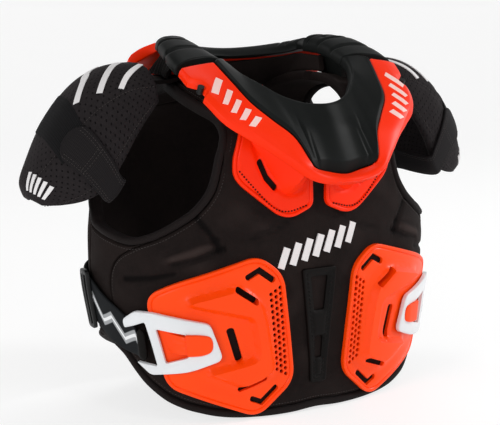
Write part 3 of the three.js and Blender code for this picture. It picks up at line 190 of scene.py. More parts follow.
def unit(vectors):
    return vectors / np.maximum(np.linalg.norm(vectors, axis=-1, keepdims=True), 1e-9)


# Small step of an angle, over which the body's direction is measured
TURN_STEP = 0.01


def raised(angle, down, lift):
    """Points at a height over the body."""
    round_body = body_point(angle + TURN_STEP, down) - body_point(angle - TURN_STEP, down)
    along = body_point(angle, down + 1.0) - body_point(angle, down - 1.0)
    normal = unit(np.cross(along, round_body))
    return body_point(angle, down) + normal * np.asarray(lift)[..., None]


def wrapped(x, y, lift):
    """Flat pattern coordinates bent round the body: x round it, y up it."""
    return raised(angle_at(x), -y, lift)


def shoulder_height(x, y):
    """Height of the vest's outer face on the shoulder, over a place seen from above."""
    power = (FRONT_SQUARENESS if y < 0 else BACK_SQUARENESS) / 2
    column, full = (2, TORSO_FRONT) if y < 0 else (3, TORSO_BACK)
    angle = down = 0.0
    for _ in range(6):
        share = np.array(down / TORSO_LENGTH)
        width = TORSO_HALF_WIDTH * float(smooth_column(TORSO_SECTIONS, 1, share))
        depth = full * float(smooth_column(TORSO_SECTIONS, column, share))
        angle = math.asin(min((abs(x) / width) ** power, 1))
        reach = depth * math.cos(angle) ** (1 / power)
        down = SHOULDER_ROLL * math.asin(min(abs(y) / max(reach, 1e-6), 1)) / (math.pi / 2)
    return float(body_point(angle if y < 0 else math.pi - angle, down)[2])


# Curves
SPAN_STEPS = 24


def spline(p0, p1, p2, p3, t):
    """Smooth curve from the second point to the third, between the first and the last."""
    bend = 2 * p0 - 5 * p1 + 4 * p2 - p3
    return 0.5 * (2 * p1 + (p2 - p0) * t + bend * t**2 + (3 * p1 - p0 - 3 * p2 + p3) * t**3)


def with_ends(points):
    """A path with one more point past each end."""
    return np.vstack([2 * points[0] - points[1], points, 2 * points[-1] - points[-2]])


def table_at(at, index, table):
    """Rows of a table between its own, at values of its index."""
    return np.stack([np.interp(at, index, column) for column in table.T], -1)


def smooth_path(points, count, closed=False):
    """Evenly spaced points on a smooth curve through the given ones."""
    points = np.asarray(points, float)
    n = len(points)
    padded = points[np.arange(-1, n + 2) % n] if closed else with_ends(points)
    t = np.linspace(0, 1, SPAN_STEPS, endpoint=False)[:, None]
    dense = [spline(*padded[i : i + 4], t) for i in range(n if closed else n - 1)]
    dense = np.vstack(dense + [points[:1] if closed else points[-1:]])
    lengths = lengths_along(dense)
    return table_at(np.linspace(0, lengths[-1], count, endpoint=not closed), lengths, dense)


def index_path(points, count):
    """Points on a smooth curve, spaced evenly by the number of the row."""
    points = np.asarray(points, float)
    padded = with_ends(points)
    at = np.linspace(0, len(points) - 1, count)
    i = np.minimum(at.astype(int), len(points) - 2)
    return spline(padded[i], padded[i + 1], padded[i + 2], padded[i + 3], (at - i)[:, None])


def tangents(points, closed=False):
    if closed:
        return unit(np.roll(points, -1, 0) - np.roll(points, 1, 0))
    return unit(np.gradient(points, axis=0))


def smoothstep(low, high, value):
    t = np.clip((value - low) / (high - low), 0, 1)
    return t * t * (3 - 2 * t)


def bell(value, width):
    """Soft bump of height 1 where the value is 0."""
    return np.exp(-((value / width) ** 2))


# Meshes
def new_object(name, points, faces, uvs=None, sharp=35.0):
    """Object at the origin from points in millimetres, with its normals facing out."""
    data = bpy.data.meshes.new(name)
    data.from_pydata((np.asarray(points, float) * MM).tolist(), [], [list(map(int, f)) for f in faces])
    if uvs is not None:
        layer = data.uv_layers.new(name="UVMap")
        index = np.zeros(len(data.loops), np.int32)
        data.loops.foreach_get("vertex_index", index)
        layer.data.foreach_set("uv", np.asarray(uvs, np.float32)[index].ravel())
    data.update()
    turn_outward(data)
    data.shade_smooth()
    data.set_sharp_from_angle(angle=math.radians(sharp))
    piece = bpy.data.objects.new(name, data)
    bpy.context.scene.collection.objects.link(piece)
    return piece


def turn_outward(data):
    count = len(data.vertices)
    co = np.zeros(count * 3)
    data.vertices.foreach_get("co", co)
    co = co.reshape(-1, 3)
    data.calc_loop_triangles()
    tri = np.zeros(len(data.loop_triangles) * 3, np.int32)
    data.loop_triangles.foreach_get("vertices", tri)
    a, b, c = (co[tri.reshape(-1, 3)[:, k]] for k in range(3))
    if np.einsum("ij,ij->i", a, np.cross(b, c)).sum() < 0:
        data.flip_normals()


def quads(number):
    """Faces between the neighbours in a grid of point numbers."""
    return np.stack([number[:-1, :-1], number[1:, :-1], number[1:, 1:], number[:-1, 1:]], -1).reshape(-1, 4)


def grid_solid(outer, inner):
    """Points and faces of the solid between two grids."""
    columns, rows = outer.shape[:2]
    number = np.arange(columns * rows).reshape(columns, rows)
    other = number + columns * rows

    def wall(a, b):
        return np.stack([a[:-1], a[1:], b[1:], b[:-1]], -1)

    faces = [
        quads(number),
        quads(other)[:, ::-1],
        wall(number[:, 0], other[:, 0])[:, ::-1],
        wall(number[:, -1], other[:, -1]),
        wall(number[0], other[0]),
        wall(number[-1], other[-1])[:, ::-1],
    ]
    return np.concatenate([outer.reshape(-1, 3), inner.reshape(-1, 3)]), np.vstack(faces)


def grid_uv(outer):
    """Distances along both ways of a grid, in millimetres, for its outer and inner points."""
    steps = [np.linalg.norm(np.diff(outer, axis=way), axis=2).mean(1 - way) for way in (0, 1)]
    u, v = (np.concatenate([[0], np.cumsum(step)]) for step in steps)
    uv = np.stack(np.meshgrid(u, v, indexing="ij"), -1).reshape(-1, 2)
    return np.vstack([uv, uv])


def sheet_object(name, outer, inner, uvs=None, sharp=60.0):
    """Piece between two grids, mapped in millimetres."""
    points, faces = grid_solid(outer, inner)
    return new_object(name, points, faces, grid_uv(outer) if uvs is None else uvs, sharp)


def edge_distance(grid, ends=True):
    """Distance of each point of a grid from its borders, with or without its two ends."""
    along_i = np.linalg.norm(np.diff(grid, axis=0), axis=2)
    along_j = np.linalg.norm(np.diff(grid, axis=1), axis=2)
    from_end = np.pad(np.cumsum(along_i, 0), ((1, 0), (0, 0)))
    from_side = np.pad(np.cumsum(along_j, 1), ((0, 0), (1, 0)))
    nearest = np.minimum(from_side, from_side[:, -1:] - from_side)
    if ends:
        nearest = np.minimum(nearest, np.minimum(from_end, from_end[-1:] - from_end))
    return nearest


def edged(count, length, radius):
    """Shares from 0 to 1 with extra ones near both ends, for a rounded border."""
    near = radius * np.array([0.06, 0.22, 0.5, 1.0]) / length
    return np.unique(np.concatenate([[0, 1], near, 1 - near, np.linspace(0, 1, count)]).round(5))


def rounding(distance, radius):
    """How far a rounded border lies below the face, at a distance from the edge."""
    t = np.clip(1 - distance / radius, 0, 1)
    return radius * (1 - np.sqrt(np.maximum(1 - t * t, 0)))


def ring_faces(count, sides, closed=False):
    """Faces of a skin over rings of points, with caps at its ends where it is open."""
    number = np.arange(count * sides).reshape(count, sides)
    order = np.arange(count + 1) % count if closed else np.arange(count)
    faces = quads(number[order][:, np.arange(sides + 1) % sides]).tolist()
    return faces if closed else faces + [number[0].tolist(), number[-1][::-1].tolist()]


def tube(path, up, width, height, sides, power, closed=False):
    """Points and faces of a rounded bar along a path. Width and height may change along it."""
    path = np.asarray(path, float)
    n = len(path)
    along = tangents(path, closed)
    up = unit(up - (up * along).sum(-1, keepdims=True) * along)
    side = np.cross(along, up)
    turn = np.linspace(0, 2 * math.pi, sides, endpoint=False) + math.pi / sides
    x, y = signed_power(np.cos(turn), 2 / power)[:, None], signed_power(np.sin(turn), 2 / power)[:, None]
    width, height = (np.broadcast_to(np.asarray(v, float) / 2, n)[:, None, None] for v in (width, height))
    points = path[:, None] + side[:, None] * width * x + up[:, None] * height * y
    return points.reshape(-1, 3), ring_faces(n, sides, closed)


def corner_curve(first, corner, last, shares):
    """Points of a curve that rounds a corner off."""
    return [(1 - t) ** 2 * first + 2 * t * (1 - t) * corner + t**2 * last for t in shares]


# Flat patterns
def segment_distance(points, loop, closed=True):
    """Distance from points to a flat polyline."""
    best = np.full(len(points), 1e9)
    for p, q in zip(loop, np.roll(loop, -1, 0)) if closed else zip(loop[:-1], loop[1:]):
        edge = q - p
        t = np.clip(((points - p) @ edge) / max(edge @ edge, 1e-9), 0, 1)
        best = np.minimum(best, np.linalg.norm(points - p - t[:, None] * edge, axis=1))
    return best


def is_inside(points, loop):
    inside = np.zeros(len(points), bool)
    for p, q in zip(loop, np.roll(loop, -1, 0)):
        crosses = (p[1] > points[:, 1]) != (q[1] > points[:, 1])
        with np.errstate(divide="ignore", invalid="ignore"):
            x = p[0] + (points[:, 1] - p[1]) * (q[0] - p[0]) / (q[1] - p[1])
        inside ^= crosses & (points[:, 0] < x)
    return inside


def depth_inside(points, loop):
    distance = segment_distance(points, loop)
    return np.where(is_inside(points, loop), distance, -distance)


def rounded_loop(corners, steps):
    """Closed flat outline from rows of x, y and the length rounded off at the corner."""
    corners = np.asarray(corners, float)
    loop = []
    for i, corner in enumerate(corners):
        here, size = corner[:2], corner[2]
        ends = []
        for other in (corners[i - 1, :2], corners[(i + 1) % len(corners), :2]):
            edge = other - here
            reach = min(size, 0.45 * np.linalg.norm(edge))
            ends.append(here + unit(edge) * reach)
        loop += corner_curve(ends[0], here, ends[1], np.linspace(0, 1, steps))
    return np.array(loop)


def slot_loop(path, half):
    """Outline of a slot with round ends along a flat path."""
    path = np.asarray(path, float)
    left, right = [], []
    for i, p in enumerate(path):
        before = path[max(i - 1, 0)]
        after = path[min(i + 1, len(path) - 1)]
        first = unit(p - before) if i else unit(after - p)
        last = unit(after - p) if i < len(path) - 1 else first
        along = unit(first + last)
        side = np.array([-along[1], along[0]])
        turn = max(side @ np.array([-last[1], last[0]]), 0.5)
        left.append(p + side * half / turn)
        right.append(p - side * half / turn)
    ends = []
    for p, direction in ((path[-1], unit(path[-1] - path[-2])), (path[0], unit(path[0] - path[1]))):
        side = np.array([-direction[1], direction[0]])
        turns = np.linspace(math.pi / 2, -math.pi / 2, 7)[1:-1]
        ends.append([p + half * (math.sin(t) * side + 0.7 * math.cos(t) * direction) for t in turns])
    return np.array(left + ends[0] + right[::-1] + ends[1])


def inset_loop(loop, distance):
    before, after = np.roll(loop, 1, 0), np.roll(loop, -1, 0)
    along = unit(unit(loop - before) + unit(after - loop))
    side = np.stack([-along[:, 1], along[:, 0]], -1)
    area = np.sum(loop[:, 0] * after[:, 1] - after[:, 0] * loop[:, 1])
    moved = loop + side * (distance if area > 0 else -distance)
    return moved[segment_distance(moved, loop) > abs(distance) * 0.85]


def dense_loop(loop, step):
    """The same outline, with points added along its long edges."""
    made = []
    for p, q in zip(loop, np.roll(loop, -1, 0)):
        count = max(int(np.linalg.norm(q - p) / step), 1)
        made += [p + (q - p) * k / count for k in range(count)]
    return np.array(made)


# Rings of points over a rounded border, as shares of its radius
ROUNDING_RINGS = (0.15, 0.5, 1.0)
# Distance between the rows of a net of even triangles, as a share of its pitch
NET_ROW = 0.87
HOLE_ROUNDING = 0.5


def moulded_plate(name, outline, holes, height, pitch, radius, bottom, lines=(), groove=()):
    """Plate with exact outlines, holes and crease lines, its own height and rounded borders."""
    outline = dense_loop(outline, pitch)
    holes = [dense_loop(hole, pitch) for hole in holes]
    lines = [dense_loop(line, pitch) for line in lines]
    insets = [radius * share for share in ROUNDING_RINGS] + list(groove)
    low, high = outline.min(0), outline.max(0)
    xs = np.arange(low[0], high[0], pitch)
    ys = np.arange(low[1], high[1], pitch * NET_ROW)
    cloud = np.array([(x + (k % 2) * pitch / 2, y) for k, y in enumerate(ys) for x in xs])
    keep = depth_inside(cloud, outline) > max(insets) * 1.2
    for loop in [*holes, *lines]:
        keep &= segment_distance(cloud, loop) > pitch * 0.4
    for hole in holes:
        keep &= ~is_inside(cloud, hole)
    points, edges = [], []
    for loop in [outline, *holes, *lines]:
        start = len(points)
        points += [Vector(p) for p in loop]
        edges += [(start + k, start + (k + 1) % len(loop)) for k in range(len(loop))]
    for part in [*(inset_loop(outline, inset) for inset in insets), cloud[keep]]:
        points += [Vector(p) for p in part]
    result = delaunay_2d_cdt(points, edges, [], 0, 1e-4)
    flat, tris = np.array([tuple(p) for p in result[0]]), np.array(result[2])
    centres = flat[tris].mean(1)
    wanted = is_inside(centres, outline)
    for hole in holes:
        wanted &= ~is_inside(centres, hole)
    used, tris = np.unique(tris[wanted], return_inverse=True)
    flat, tris = flat[used], tris.reshape(-1, 3)
    top = height(flat) - rounding(depth_inside(flat, outline), radius)
    for hole in holes:
        top -= rounding(segment_distance(flat, hole), min(radius, HOLE_ROUNDING))
    count = len(flat)
    points = np.vstack([wrapped(flat[:, 0], flat[:, 1], lift) for lift in (top, bottom)])
    directed = {(a, b) for t in tris for a, b in ((t[0], t[1]), (t[1], t[2]), (t[2], t[0]))}
    walls = [(a + count, b + count, b, a) for a, b in directed if (b, a) not in directed]
    faces = [tuple(t) for t in tris] + [tuple(t[::-1] + count) for t in tris] + walls
    return new_object(name, points, faces, np.vstack([flat, flat]))


def framed(frame, rows):
    """Places drawn as shares of a frame's width round the body and height down it."""
    inset, top, width, height = frame
    rows = np.array(rows, float)
    rows[:, 0] = inset + rows[:, 0] * width
    rows[:, 1] = -(top + rows[:, 1] * height)
    return rows


# Colours and materials
def colour(code):
    """Linear colour from an sRGB hex value."""
    values = [int(code[k : k + 2], 16) / 255 for k in (1, 3, 5)]
    linear = [v / 12.92 if v <= 0.04045 else ((v + 0.055) / 1.055) ** 2.4 for v in values]
    return (*linear, 1.0)


def add_node(tree, kind, settings=None, inputs=None):
    """A node with its settings, and values or links for its inputs."""
    node = tree.nodes.new(kind)
    for key, value in (settings or {}).items():
        setattr(node, key, value)
    for key, value in (inputs or {}).items():
        if isinstance(value, bpy.types.NodeSocket):
            tree.links.new(value, node.inputs[key])
        else:
            node.inputs[key].default_value = value
    return node


def new_material(name, shader):
    """Material with a surface shader, and its tree."""
    made = bpy.data.materials.new(name)
    made.use_nodes = True
    tree = made.node_tree
    tree.nodes.clear()
    surface = add_node(tree, "ShaderNodeBsdfPrincipled", inputs=shader)
    add_node(tree, "ShaderNodeOutputMaterial", inputs={"Surface": surface.outputs[0]})
    return made, tree, surface


def object_place(tree):
    return add_node(tree, "ShaderNodeTexCoord").outputs["Object"]


def surface_place(tree):
    return add_node(tree, "ShaderNodeUVMap", {"uv_map": "UVMap"}).outputs[0]


def mix_colours(tree, factor, first, second):
    """Colour between two, by a factor."""
    made = add_node(tree, "ShaderNodeMix", {"data_type": "RGBA"}, {0: factor, 6: first, 7: second})
    return made.outputs[2]


def ramp(tree, value, stops):
    """Grey levels by a value, from stops of position and level."""
    made = add_node(tree, "ShaderNodeValToRGB", inputs={0: value})
    points = made.color_ramp.elements
    for k, (position, level) in enumerate(stops):
        point = points[k] if k < 2 else points.new(position)
        point.position = position
        point.color = (level, level, level, 1)
    return made.outputs[0]


PER_MM = 1000.0


def noise(tree, place, per_mm, detail, roughness=0.5):
    values = {"Vector": place, "Scale": per_mm * PER_MM, "Detail": detail, "Roughness": roughness}
    return add_node(tree, "ShaderNodeTexNoise", inputs=values).outputs[0]


def map_range(tree, value, start, end, low, high):
    values = {0: value, 1: start, 2: end, 3: low, 4: high}
    return add_node(tree, "ShaderNodeMapRange", inputs=values).outputs[0]


def maths(tree, operation, *values):
    return add_node(tree, "ShaderNodeMath", {"operation": operation}, dict(enumerate(values))).outputs[0]


def bump(tree, height, strength, depth, under=None, invert=False):
    """Bump of a depth in millimetres, over another one where it is given."""
    values = {"Height": height, "Strength": strength, "Distance": depth * MM}
    if under is not None:
        values["Normal"] = under
    return add_node(tree, "ShaderNodeBump", {"invert": invert}, values).outputs[0]


def knit_bump(tree, place, strength):
    """Loops of a knit, which are 0.8 mm apart and drawn at 1.2 mm so that they show."""
    loops = add_node(tree, "ShaderNodeTexVoronoi", inputs={"Vector": place, "Scale": PER_MM / 1.2})
    return bump(tree, loops.outputs["Distance"], strength, 0.25)


def padded_knit():
    """Brushed polyester knit over foam: matt, brownish black, with a soft sheen, a fine mottle, painted light
    on its ridges and painted shade in its pressed lines.
    """
    sheen = {"Sheen Weight": 0.06, "Sheen Roughness": 0.45, "Sheen Tint": colour("#8A7C76")}
    shader = {"Roughness": 0.82, "Specular IOR Level": 0.08, **sheen}
    made, tree, surface = new_material("brushed_knit_over_foam", shader)
    place = object_place(tree)
    mottle = noise(tree, place, 0.22, 4.0, 0.7)
    broad = noise(tree, place, 0.025, 3.0)
    fine = mix_colours(tree, mottle, colour("#0E0A09"), colour("#1F1817"))
    mottle_and_shade_relief = mix_colours(tree, ramp(tree, broad, [(0.35, 0.0), (0.75, 0.5)]), fine, colour("#241C1A"))
    # Painted light and shade by the height of the padding: #473B38 lightens its ridges as painted highlight,
    # and near-black #060404 darkens its pressed lines as painted shade
    height = add_node(tree, "ShaderNodeAttribute", {"attribute_name": "relief"}).outputs["Fac"]
    painted_ridge_light = map_range(tree, height, 0.4, 2.0, 0.0, 0.45)
    painted_crease_shade = map_range(tree, height, -0.2, -1.6, 0.0, 0.85)
    # Painted highlight on the ridges of the padding
    light = mix_colours(tree, painted_ridge_light, mottle_and_shade_relief, colour("#473B38"))
    # Painted shade in the pressed lines of the padding
    tree.links.new(mix_colours(tree, painted_crease_shade, light, colour("#060404")), surface.inputs["Base Color"])
    coarse = bump(tree, broad, 0.3, 1.5, under=knit_bump(tree, place, 0.35))
    tree.links.new(coarse, surface.inputs["Normal"])
    return made


# Distance between the vents of the punched knit, which are 1.1 mm wide, and the turn of their rows
VENT_PITCH = 4.2
VENT_TURN = math.radians(38)


def perforated_knit():
    """Stretch knit punched with small vent holes in staggered rows, over foam."""
    sheen = {"Sheen Weight": 0.06, "Sheen Roughness": 0.4, "Sheen Tint": colour("#8C8084")}
    shader = {"Roughness": 0.8, "Specular IOR Level": 0.08, **sheen}
    made, tree, surface = new_material("punched_stretch_knit", shader)
    layout = {"Rotation": (0, 0, VENT_TURN), "Scale": (1 / VENT_PITCH, 1 / VENT_PITCH, 1)}
    turned = add_node(tree, "ShaderNodeMapping", inputs={"Vector": surface_place(tree), **layout}).outputs[0]
    cell = {"Vector": turned, "Scale": 1.0, "Randomness": 0.12}
    cells = add_node(tree, "ShaderNodeTexVoronoi", {"voronoi_dimensions": "2D"}, cell)
    vents = ramp(tree, cells.outputs["Distance"], [(0.12, 1.0), (0.19, 0.0)])
    place = object_place(tree)
    base = mix_colours(tree, noise(tree, place, 0.3, 3.0), colour("#1B1819"), colour("#292526"))
    tree.links.new(mix_colours(tree, vents, base, colour("#0B090A")), surface.inputs["Base Color"])
    dips = bump(tree, vents, 0.8, 0.8, under=knit_bump(tree, place, 0.3), invert=True)
    tree.links.new(dips, surface.inputs["Normal"])
    return made


def moulded(name, base, light, roughness, grain, grain_depth, shine=0.3, coat=0.0):
    """Moulded plastic, foam or print: a fine even grain, and slight unevenness of its gloss."""
    shader = {"IOR": 1.5, "Specular IOR Level": shine, "Coat Weight": coat, "Coat Roughness": 0.15}
    made, tree, surface = new_material(name, shader)
    place = object_place(tree)
    broad = noise(tree, place, 0.03, 3.0)
    tree.links.new(mix_colours(tree, broad, colour(base), colour(light)), surface.inputs["Base Color"])
    tree.links.new(map_range(tree, broad, 0.3, 0.7, *roughness), surface.inputs["Roughness"])
    fine = noise(tree, place, 1 / grain, 2.0)
    tree.links.new(bump(tree, fine, 0.25, grain_depth), surface.inputs["Normal"])
    return made


def woven(name, base, light, rib, roughness=0.75, pattern=None):
    """Narrow woven tape: ribs across its length, from its own surface map in millimetres."""
    sheen = {"Sheen Weight": 0.04, "Sheen Tint": colour("#8A8A8E")}
    made, tree, surface = new_material(name, {"Roughness": roughness, "Specular IOR Level": 0.1, **sheen})
    split = add_node(tree, "ShaderNodeSeparateXYZ", inputs={0: surface_place(tree)})
    along, across = split.outputs[0], split.outputs[1]
    ribs = maths(tree, "SINE", maths(tree, "MULTIPLY", along, 2 * math.pi / rib))
    warps = maths(tree, "SINE", maths(tree, "MULTIPLY", across, 2 * math.pi / (rib * 1.4)))
    weave = maths(tree, "MULTIPLY_ADD", ribs, 0.35, maths(tree, "MULTIPLY_ADD", warps, 0.15, 0.5))
    tone = mix_colours(tree, weave, colour(base), colour(light))
    if pattern:
        tone = pattern(tree, along, across, tone)
    tree.links.new(tone, surface.inputs["Base Color"])
    tree.links.new(bump(tree, weave, 0.4, 0.3), surface.inputs["Normal"])
    return made


ZIGZAG_HEIGHT = 11.0


def zigzag(tree, along, across, tone):
    """A plain light zigzag worked into the middle of a tape."""
    wave = maths(tree, "PINGPONG", along, ZIGZAG_HEIGHT)
    offset = maths(tree, "ADD", maths(tree, "SUBTRACT", across, wave), ZIGZAG_HEIGHT / 2)
    far = maths(tree, "DIVIDE", maths(tree, "ABSOLUTE", offset), 20.0)
    grey = mix_colours(tree, ramp(tree, far, [(0.2, 1.0), (0.235, 0.0)]), tone, colour("#9A9C9E"))
    return mix_colours(tree, ramp(tree, far, [(0.055, 1.0), (0.08, 0.0)]), grey, colour("#E6E7E8"))


fabric = padded_knit()
pad_fabric = perforated_knit()
orange = moulded("moulded_polypropylene_orange", "#FA4000", "#FF4A00", (0.28, 0.4), 0.5, 0.05, 0.2)
yoke_orange = moulded("moulded_nylon_orange_red", "#FA2800", "#FF3200", (0.34, 0.46), 0.5, 0.05, 0.16)
foam = moulded("moulded_skin_foam_black", "#070908", "#0D100F", (0.45, 0.58), 0.7, 0.12, 0.14)
white_nylon = moulded("moulded_nylon_white", "#D6D9DC", "#E4E6E8", (0.28, 0.38), 0.6, 0.04, 0.5, 0.1)
black_nylon = moulded("moulded_nylon_black", "#0A0A0B", "#121313", (0.35, 0.5), 0.6, 0.05)
soft_black = moulded("moulded_elastomer_black", "#080605", "#0E0B0A", (0.5, 0.62), 0.8, 0.1, 0.1)
print_white = moulded("screen_print_white", "#D9D6D6", "#E8E6E6", (0.4, 0.55), 0.9, 0.05)
print_pink = moulded("screen_print_on_orange", "#F3C4BC", "#F8D6CF", (0.4, 0.5), 0.9, 0.05)
tape = woven("woven_edge_tape", "#100C0C", "#201A19", 1.0)
strap_cloth = woven("woven_strap_cloth", "#121011", "#201D1E", 1.3)
loop_pile = woven("loop_pile_patch", "#0B0B0C", "#1C1B1C", 1.6, 0.95)
elastic = woven("woven_elastic_with_zigzag", "#101113", "#1E2022", 1.1, pattern=zigzag)
thread = moulded("spun_polyester_thread", "#2B2726", "#3E3836", (0.6, 0.7), 0.5, 0.05)


# Fastening of pieces to the part
def settle(piece, material, nodes=()):
    piece.data.materials.clear()
    piece.data.materials.append(material)
    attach(piece, "root")
    if nodes:
        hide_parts(*nodes)


def mirrored_copy(piece, name):
    """The same piece for the other side of the body."""
    data = piece.data.copy()
    data.transform(Matrix.Scale(-1, 4, (1, 0, 0)))
    data.flip_normals()
    data.name = name
    twin = bpy.data.objects.new(name, data)
    bpy.context.scene.collection.objects.link(twin)
    return twin


def settle_pair(piece, name, material, node=None):
    """Names and fastens the left piece, and makes and fastens its mirrored twin."""
    twin = mirrored_copy(piece, name + "_right")
    piece.name = name + "_left"
    for one, side in ((piece, "left"), (twin, "right")):
        settle(one, material, (node + "_" + side,) if node else ())


# Edges of the panels, as in the part's source: distance round the body as a share of its
# half width, distance down as a share of its length, and 1 where it is measured from the back
def placed(rows):
    rows = np.array([(*row, 0) if len(row) == 2 else row for row in rows], float)
    angle = angle_at(rows[:, 0] * TORSO_HALF_WIDTH)
    angle = np.where(rows[:, 2] > 0, math.pi - angle, angle)
    return np.stack([angle, rows[:, 1] * TORSO_LENGTH], -1)


ARMHOLE = placed(
    [
        (0.83, 0.04), (0.78, 0.12), (0.69, 0.175), (0.6, 0.215), (0.565, 0.26), (0.565, 0.3), (0.575, 0.34),
        (0.6, 0.415), (0.67, 0.465), (0.77, 0.5), (0.89, 0.53), (1.01, 0.545), (1.15, 0.535), (1.29, 0.52),
        (1.29, 0.5, 1), (1.12, 0.455, 1), (0.96, 0.385, 1), (0.83, 0.3, 1), (0.75, 0.21, 1), (0.76, 0.12, 1),
        (0.8, 0.04, 1),
    ]
)
FRONT_STRAP, FRONT_SEAM, BACK_SEAM, BACK_STRAP = 3, 10, 14, 18
FRONT_SEAM_ROWS = placed(
    [(1.0, 0.563), (1.09, 0.59), (1.14, 0.63), (1.155, 0.69), (1.13, 0.76), (1.09, 0.835)]
)
BACK_SEAM_ROWS = placed([(1.27, 0.56, 1), (1.25, 0.63, 1), (1.25, 0.71, 1), (1.25, 0.8, 1)])
STRAP_INNER = placed(
    [(0.36, 0.193), (0.42, 0.12), (0.47, 0.05), (0.49, 0.0), (0.47, -0.05), (0.42, -0.12), (0.36, -0.193)]
)
FRONT_HEM = placed(
    [
        (0, 0.978), (0.16, 0.982), (0.32, 0.982), (0.48, 0.979), (0.6, 0.973), (0.7, 0.963), (0.78, 0.953),
        (0.86, 0.938), (0.92, 0.92), (0.98, 0.897), (1.03, 0.87),
    ]
)
SIDE_HEM = placed([(1.13, 0.82), (1.22, 0.8), (1.34, 0.79), (1.25, 0.8, 1)])
BACK_HEM = placed(
    [
        (1.12, 0.815, 1), (0.98, 0.845, 1), (0.82, 0.88, 1), (0.62, 0.91, 1), (0.4, 0.93, 1), (0.2, 0.94, 1),
        (0, 0.94, 1),
    ]
)
FRONT_NECK = placed([(0, 0.2), (0.17, 0.2), (0.34, 0.2), (0.47, 0.2)])
BACK_NECK = placed([(0, 0.12, 1), (0.16, 0.125, 1), (0.3, 0.15, 1), (0.33, 0.2, 1), (0.5, 0.203, 1)])


def same_side(row, other):
    turn = other[0] - row[0]
    if abs(turn) < 1:
        return other
    if abs(turn) > 4:
        return np.array([other[0] - math.copysign(2 * math.pi, turn), other[1]])
    return np.array([math.pi - other[0], -other[1]])


def beside(rows, distance, closed=False):
    """Places beside an edge's rows, at a true distance across the body's surface."""
    made = []
    for i, row in enumerate(rows):
        first, last = i == 0 and not closed, i == len(rows) - 1 and not closed
        before = same_side(row, 2 * rows[0] - rows[1] if first else rows[i - 1])
        after = same_side(row, 2 * rows[-1] - rows[-2] if last else rows[(i + 1) % len(rows)])
        turned = body_point(row[0] + TURN_STEP, row[1]) - body_point(row[0] - TURN_STEP, row[1])
        round_body = turned / (2 * TURN_STEP)
        along = (body_point(row[0], row[1] + 1) - body_point(row[0], row[1] - 1)) / 2
        edge = round_body * (after[0] - before[0]) + along * (after[1] - before[1])
        aside = unit(np.cross(edge, np.cross(along, round_body))) * distance
        skew = round_body @ along
        scale = (round_body @ round_body) * (along @ along) - skew**2
        by_round, by_along = aside @ round_body, aside @ along
        made.append(
            (
                row[0] + (by_round * (along @ along) - by_along * skew) / scale,
                row[1] + (by_along * (round_body @ round_body) - by_round * skew) / scale,
            )
        )
    return np.array(made)


SEAM = 0.35
BINDING_MIDDLE = BINDING_WIDTH / 2 + PANEL_GAP
armhole_edge = beside(ARMHOLE, BINDING_MIDDLE, closed=True)


def joined_paths(*paths):
    """Smooth paths one after the other, meeting at corners."""
    parts = [index_path(rows, count) for rows, count in paths]
    return np.vstack([parts[0]] + [part[1:] for part in parts[1:]])


def both_sides(rows):
    return np.vstack([rows[:0:-1] * np.array([-1, 1]), rows])


# Relief of the padded cloth: soft waves of fixed form, and pressed lines
WAVES = (
    (0.043, 0.021, 0.4), (-0.027, 0.051, 1.7), (0.081, -0.036, 2.9), (0.012, 0.093, 4.1), (0.117, 0.075, 5.2),
)
WAVE_HEIGHT = 0.32
CROWN_REACH = 16
EDGE_RADIUS = 3.2


def soft_waves(x, y):
    total = 0
    for k, (wx, wy, phase) in enumerate(WAVES):
        bent = x * wx * 1.9 + y * wy * 1.9 + phase + 1.3 * np.sin(y * wx + phase)
        total = total + np.sin(bent) / (1.4 + 0.5 * k)
    return total


def pressed_line(x, y, path, width, depth):
    """A groove of the given width and depth along a flat path, fading at its ends."""
    distance = segment_distance(np.stack([x.ravel(), y.ravel()], -1), np.array(path, float), closed=False)
    return -depth * bell(distance.reshape(x.shape), width)


def padded_slab(name, grid, crown=0.0, relief=None, radius=EDGE_RADIUS):
    """Padded cloth panel over a grid of places on the body, with rounded edges."""
    angle, down = grid[..., 0], grid[..., 1]
    border = edge_distance(raised(angle, down, 0.0))
    drop = rounding(border, radius)
    x = np.sign(angle) * np.interp(np.abs(angle), arc_angles, arc_lengths)
    waves = WAVE_HEIGHT * soft_waves(x, -down) * smoothstep(2, 14, border)
    lift = crown * smoothstep(0, CROWN_REACH, border) + waves
    if relief is not None:
        lift = lift + relief(x, down)
    piece = sheet_object(name, raised(angle, down, lift - drop), raised(angle, down, -PANEL_THICKNESS + drop))
    # Height of the outer face over the body, kept as the relief attribute; the knit's colour takes painted
    # light on ridges and painted shade in pressed lines from it
    height = np.concatenate([lift.ravel(), np.zeros(lift.size)])
    mottle_and_shade_relief = piece.data.attributes.new("relief", "FLOAT", "POINT")
    mottle_and_shade_relief.data.foreach_set("value", height.astype(np.float32))
    return piece


def ruled_grid(upper, lower, shares):
    return upper[:, None] * (1 - shares[None, :, None]) + lower[:, None] * shares[None, :, None]


# Lines on the chest from the photo's creases: distances round and down the body, width and depth,
# which is below zero for a raised line
CHEST_CREASES = (
    ([(160, 201), (138, 199), (119, 195)], 2.2, 2.21),
    ([(121, 188), (102, 184), (80, 176)], 2.0, 1.87),
    ([(124, 180), (100, 172), (85, 169)], 2.6, 1.36),
    ([(18, 152), (38, 165), (60, 171)], 2.6, 1.36),
    ([(104, 150), (92, 163), (84, 176)], 2.4, 2.04),
    ([(0, 168), (0, 190)], 2.4, 0.85),
    ([(120, 182), (92, 172)], 5.0, -1.6),
)


def chest_relief(x, down):
    return sum(pressed_line(np.abs(x), down, *crease) for crease in CHEST_CREASES)


